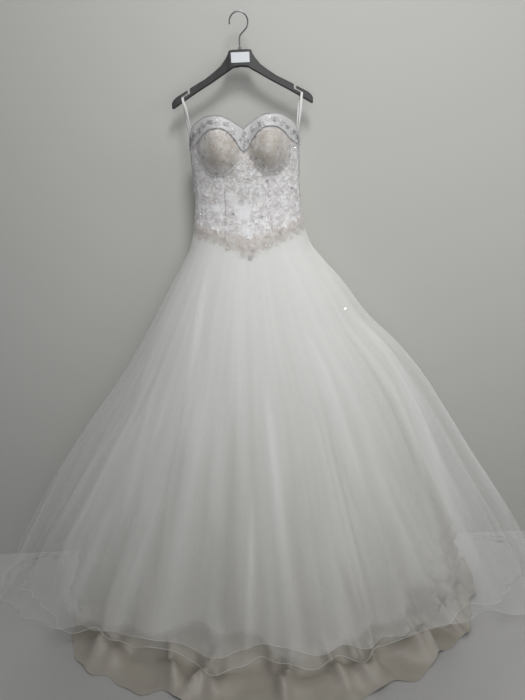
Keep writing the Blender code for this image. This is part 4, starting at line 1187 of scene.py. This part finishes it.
def sprig(heaps, rng, angle, run, size):
    """One motif of the lace: a flower among leaves, a spray of leaves, or a pair of tendrils."""
    turn = rng.uniform(0, 360)
    kind = rng.random()
    pale = pale_thread(angle, run)
    thread = "silver" if rng.random() < 0.30 else pale
    if kind < 0.50:
        heaps["flower " + thread].append(Spot(angle, run, size, turn))
        for i in range(3):
            heaps["leaf " + pale].append(Spot(angle, run, size * 1.7, turn + 120 * i + rng.uniform(-25, 25)))
        if rng.random() < 0.5:
            heaps["stone"].append(Spot(angle, run, 0.0011, 0))
    elif kind < 0.80:
        for i in range(4):
            heaps["leaf " + thread].append(Spot(angle, run, size * rng.uniform(1.0, 1.6), turn + 62 * i))
        heaps["scroll " + thread].append(Spot(angle, run, size * 1.5, turn + 200))
    else:
        heaps["scroll " + thread].append(Spot(angle, run, size * 1.7, turn))
        heaps["scroll " + pale].append(Spot(angle, run, size * 1.3, turn + 150))
        heaps["leaf silver"].append(Spot(angle, run, size * 1.2, turn + 260))


def band_motifs(heaps, rng):
    """The spaced sprays on the band round the neckline, denser at its ends and at the centre."""
    places = [*np.arange(9, 56, 8.2), *np.arange(60, 87, 5.0)]
    for way in (-1, 1):
        for i, angle in enumerate(places):
            at = way * (angle + rng.uniform(-1, 1))
            middle = 0.5 * (edge_run(NECKLINE, at) + edge_run(CUP_LINE, at)) + rng.uniform(-0.002, 0.002)
            lean = 35 * way * (1 if angle < 34 else -1)
            if i % 2:
                heaps["flower band"].append(Spot(at, middle, 0.0050, rng.uniform(0, 72)))
                for turn in (10, 65, 190, 250):
                    heaps["leaf band"].append(Spot(at, middle, rng.uniform(0.0085, 0.0115), lean + turn))
            else:
                heaps["scroll band"].append(Spot(at, middle, 0.0125, lean + 180))
                heaps["scroll band"].append(Spot(at, middle, 0.0105, lean))
                heaps["leaf band"].append(Spot(at, middle + 0.002, 0.0085, lean + 90))
                heaps["leaf pale"].append(Spot(at, middle - 0.002, 0.0090, lean + 270))
            heaps["leaf band"].append(Spot(at + 4.0 * way, middle, 0.0070, lean + 200))
            heaps["leaf band"].append(Spot(at + 4.0 * way, middle, 0.0070, lean + 20))
            heaps["bead"].append(Spot(at + 3.6, middle - 0.004, 0.0008, 0))
            heaps["bead"].append(Spot(at + 4.4, middle + 0.004, 0.0008, 0))
    for at, down, size in ((0.8, 0.304, 0.0060), (-3.5, 0.318, 0.0050), (3.8, 0.321, 0.0052), (0.3, 0.332, 0.0046)):
        heaps["flower band"].append(Spot(at, down, size, 20 + at * 9))
        heaps["leaf band"].append(Spot(at, down, size * 1.9, 120 + at * 12))
        heaps["leaf pale"].append(Spot(at, down, size * 1.9, 60 - at * 12))


def lace(finish):
    """The lace: flowers, leaves and tendrils raised on the cloth, with beads and stones among them."""
    rng = np.random.default_rng(11)
    kinds = [f"{form} {thread}" for form in ("flower", "leaf", "scroll") for thread in ("silver", "pale", "band", "waist")]
    heaps = {kind: [] for kind in kinds + ["bead", "stone"]}
    for angle, run in scatter(rng, 0.0215, LACE_TOP, LACE_HEM):
        size = rng.uniform(0.0058, 0.0090)
        if bare(angle, run):
            continue
        if on_cup(rng, angle, run):
            thread = "band" if rng.random() < 0.3 else "waist"
            heaps["leaf " + thread].append(Spot(angle, run, size, rng.uniform(0, 360)))
            heaps["leaf waist"].append(Spot(angle, run, size * 1.2, rng.uniform(0, 360)))
            heaps["scroll " + thread].append(Spot(angle, run, size * 1.2, rng.uniform(0, 360)))
            continue
        sprig(heaps, rng, angle, run, size)
    for angle, run in scatter(rng, 0.0105, LACE_TOP, LACE_HEM):
        if bare(angle, run):
            continue
        cup = on_cup(rng, angle, run)
        form = "silver" if rng.random() < (0.6 if cup else 0.22) else pale_thread(angle, run)
        if cup and form == "pale":
            form = "waist"
        heaps["leaf " + form].append(Spot(angle, run, rng.uniform(0.0050, 0.0085), rng.uniform(0, 360)))
    for angle, run in scatter(rng, 0.0125, WAIST, LACE_TRAIL):
        form = ("flower waist", "leaf waist", "leaf silver", "leaf pale")[int(rng.integers(4))]
        heaps[form].append(Spot(angle, run, rng.uniform(0.0028, 0.0060), rng.uniform(0, 360)))
    for angle, run in scatter(rng, 0.0100, LACE_TOP, LACE_HEM):
        heaps["bead"].append(Spot(angle, run, rng.uniform(0.0005, 0.0009), 0))
    for spot in DARK_STONES:
        heaps["flower band"].append(Spot(spot.angle, spot.run, spot.size, spot.turn))
        for i in range(5):
            off = math.radians(72 * i + spot.turn)
            at = Spot(spot.angle + math.cos(off) * 1.4, spot.run + math.sin(off) * 0.0032, 0.0012, 0)
            heaps["bead"].append(at)
    band_motifs(heaps, rng)
    shapes = {
        "flower": flower_shapes(5),
        "leaf": [leaf_shape()],
        "scroll": [scroll_shape()],
        "bead": [bead_shape()],
        "stone": [bead_shape(6, 2)],
    }
    lifts = {"flower": 0.0004, "leaf": 0.0003, "scroll": 0.0003, "bead": 0.0002, "stone": 0.0016}
    pieces = {
        "lace_silver": ("silver", "silver_thread", "beaded_lace"),
        "lace_pale": ("pale", "pale_thread", "beaded_lace"),
        "band_lace": ("band", "band_thread", "embroidered_band"),
        "waist_sprays": ("waist", "waist_thread", "beaded_lace"),
        "lace_beads": ("bead", "beads", "silver_beads"),
        "lace_stones": ("stone", "stone", "silver_beads"),
    }
    for name, (word, look, slot) in pieces.items():
        heap = Heap()
        for kind, spots in heaps.items():
            if word not in kind.split() or not spots:
                continue
            form = kind.split()[0]
            for corners, faces in shapes[form]:
                heap.add(laid_on(lace_ground, corners, spots, lifts[form]), faces)
        piece(name, heap.mesh(name, word != "stone"), finish[look])


def lace_ground(angle, run):
    """The surface that the lace lies on: the bodice, and below its seam the lace edge over the skirt."""
    below = ease((run - edge_run(WAIST, angle)) / 0.006)
    return moved_out(bodice_point, angle, run, LACE_REST * below)


def zip_teeth(finish):
    """The closed teeth of the zip below its slider, and the rows of stitches beside them."""
    corners, faces = bead_shape(4, 2)
    for name, pitch, beside, shape, look, slot in (
        ("zip_teeth", 0.0013, 0.27, (0.0013, 0.0004, 0.0007), "zip", "zip_metal"),
        ("zip_stitches", 0.0034, 2.3, (0.0002, 0.0011, 0.0003), "edge_cord", "satin"),
    ):
        heap = Heap()
        for way in (-1, 1):
            start = ZIP_TOP + (0.25 + 0.25 * way) * pitch
            spots = [Spot(180 + way * beside, run, 1.0, 0) for run in np.arange(start, ZIP_END, pitch)]
            heap.add(laid_on(bodice_point, corners * shape, spots, 0.0001), faces)
        piece(name, heap.mesh(name, False), finish[look])


def skirt_stones(finish):
    """The single stones sewn on the outer tulle."""
    heap = Heap()
    corners, faces = bead_shape(6, 2)
    heap.add(laid_on(lambda a, r: skirt_point(OUTER, a, r), corners, SKIRT_STONES, 0.0005), faces)
    piece("skirt_stones", heap.mesh("skirt_stones", False), finish["stone"])


def hard_parts(finish):
    """The finishes of the hanger, its hook and plate, and the zip's slider and tab."""
    for node, name in (
        ("hanger_bar", "plastic"),
        ("hanger_hook", "steel"),
        ("hanger_collar", "steel"),
        ("hanger_plate", "plate"),
        ("zip_slider", "zip"),
        ("zip_pull_tab", "zip"),
    ):
        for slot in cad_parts[node].material_slots:
            slot.material = finish[name]


def main():
    camera()
    stage()
    finish = build_finishes()
    hard_parts(finish)
    bodice(finish)
    waist_lace(finish)
    skirts(finish)
    ribbons(finish)
    bead_rows(finish)
    lace(finish)
    skirt_stones(finish)
    zip_teeth(finish)


main()
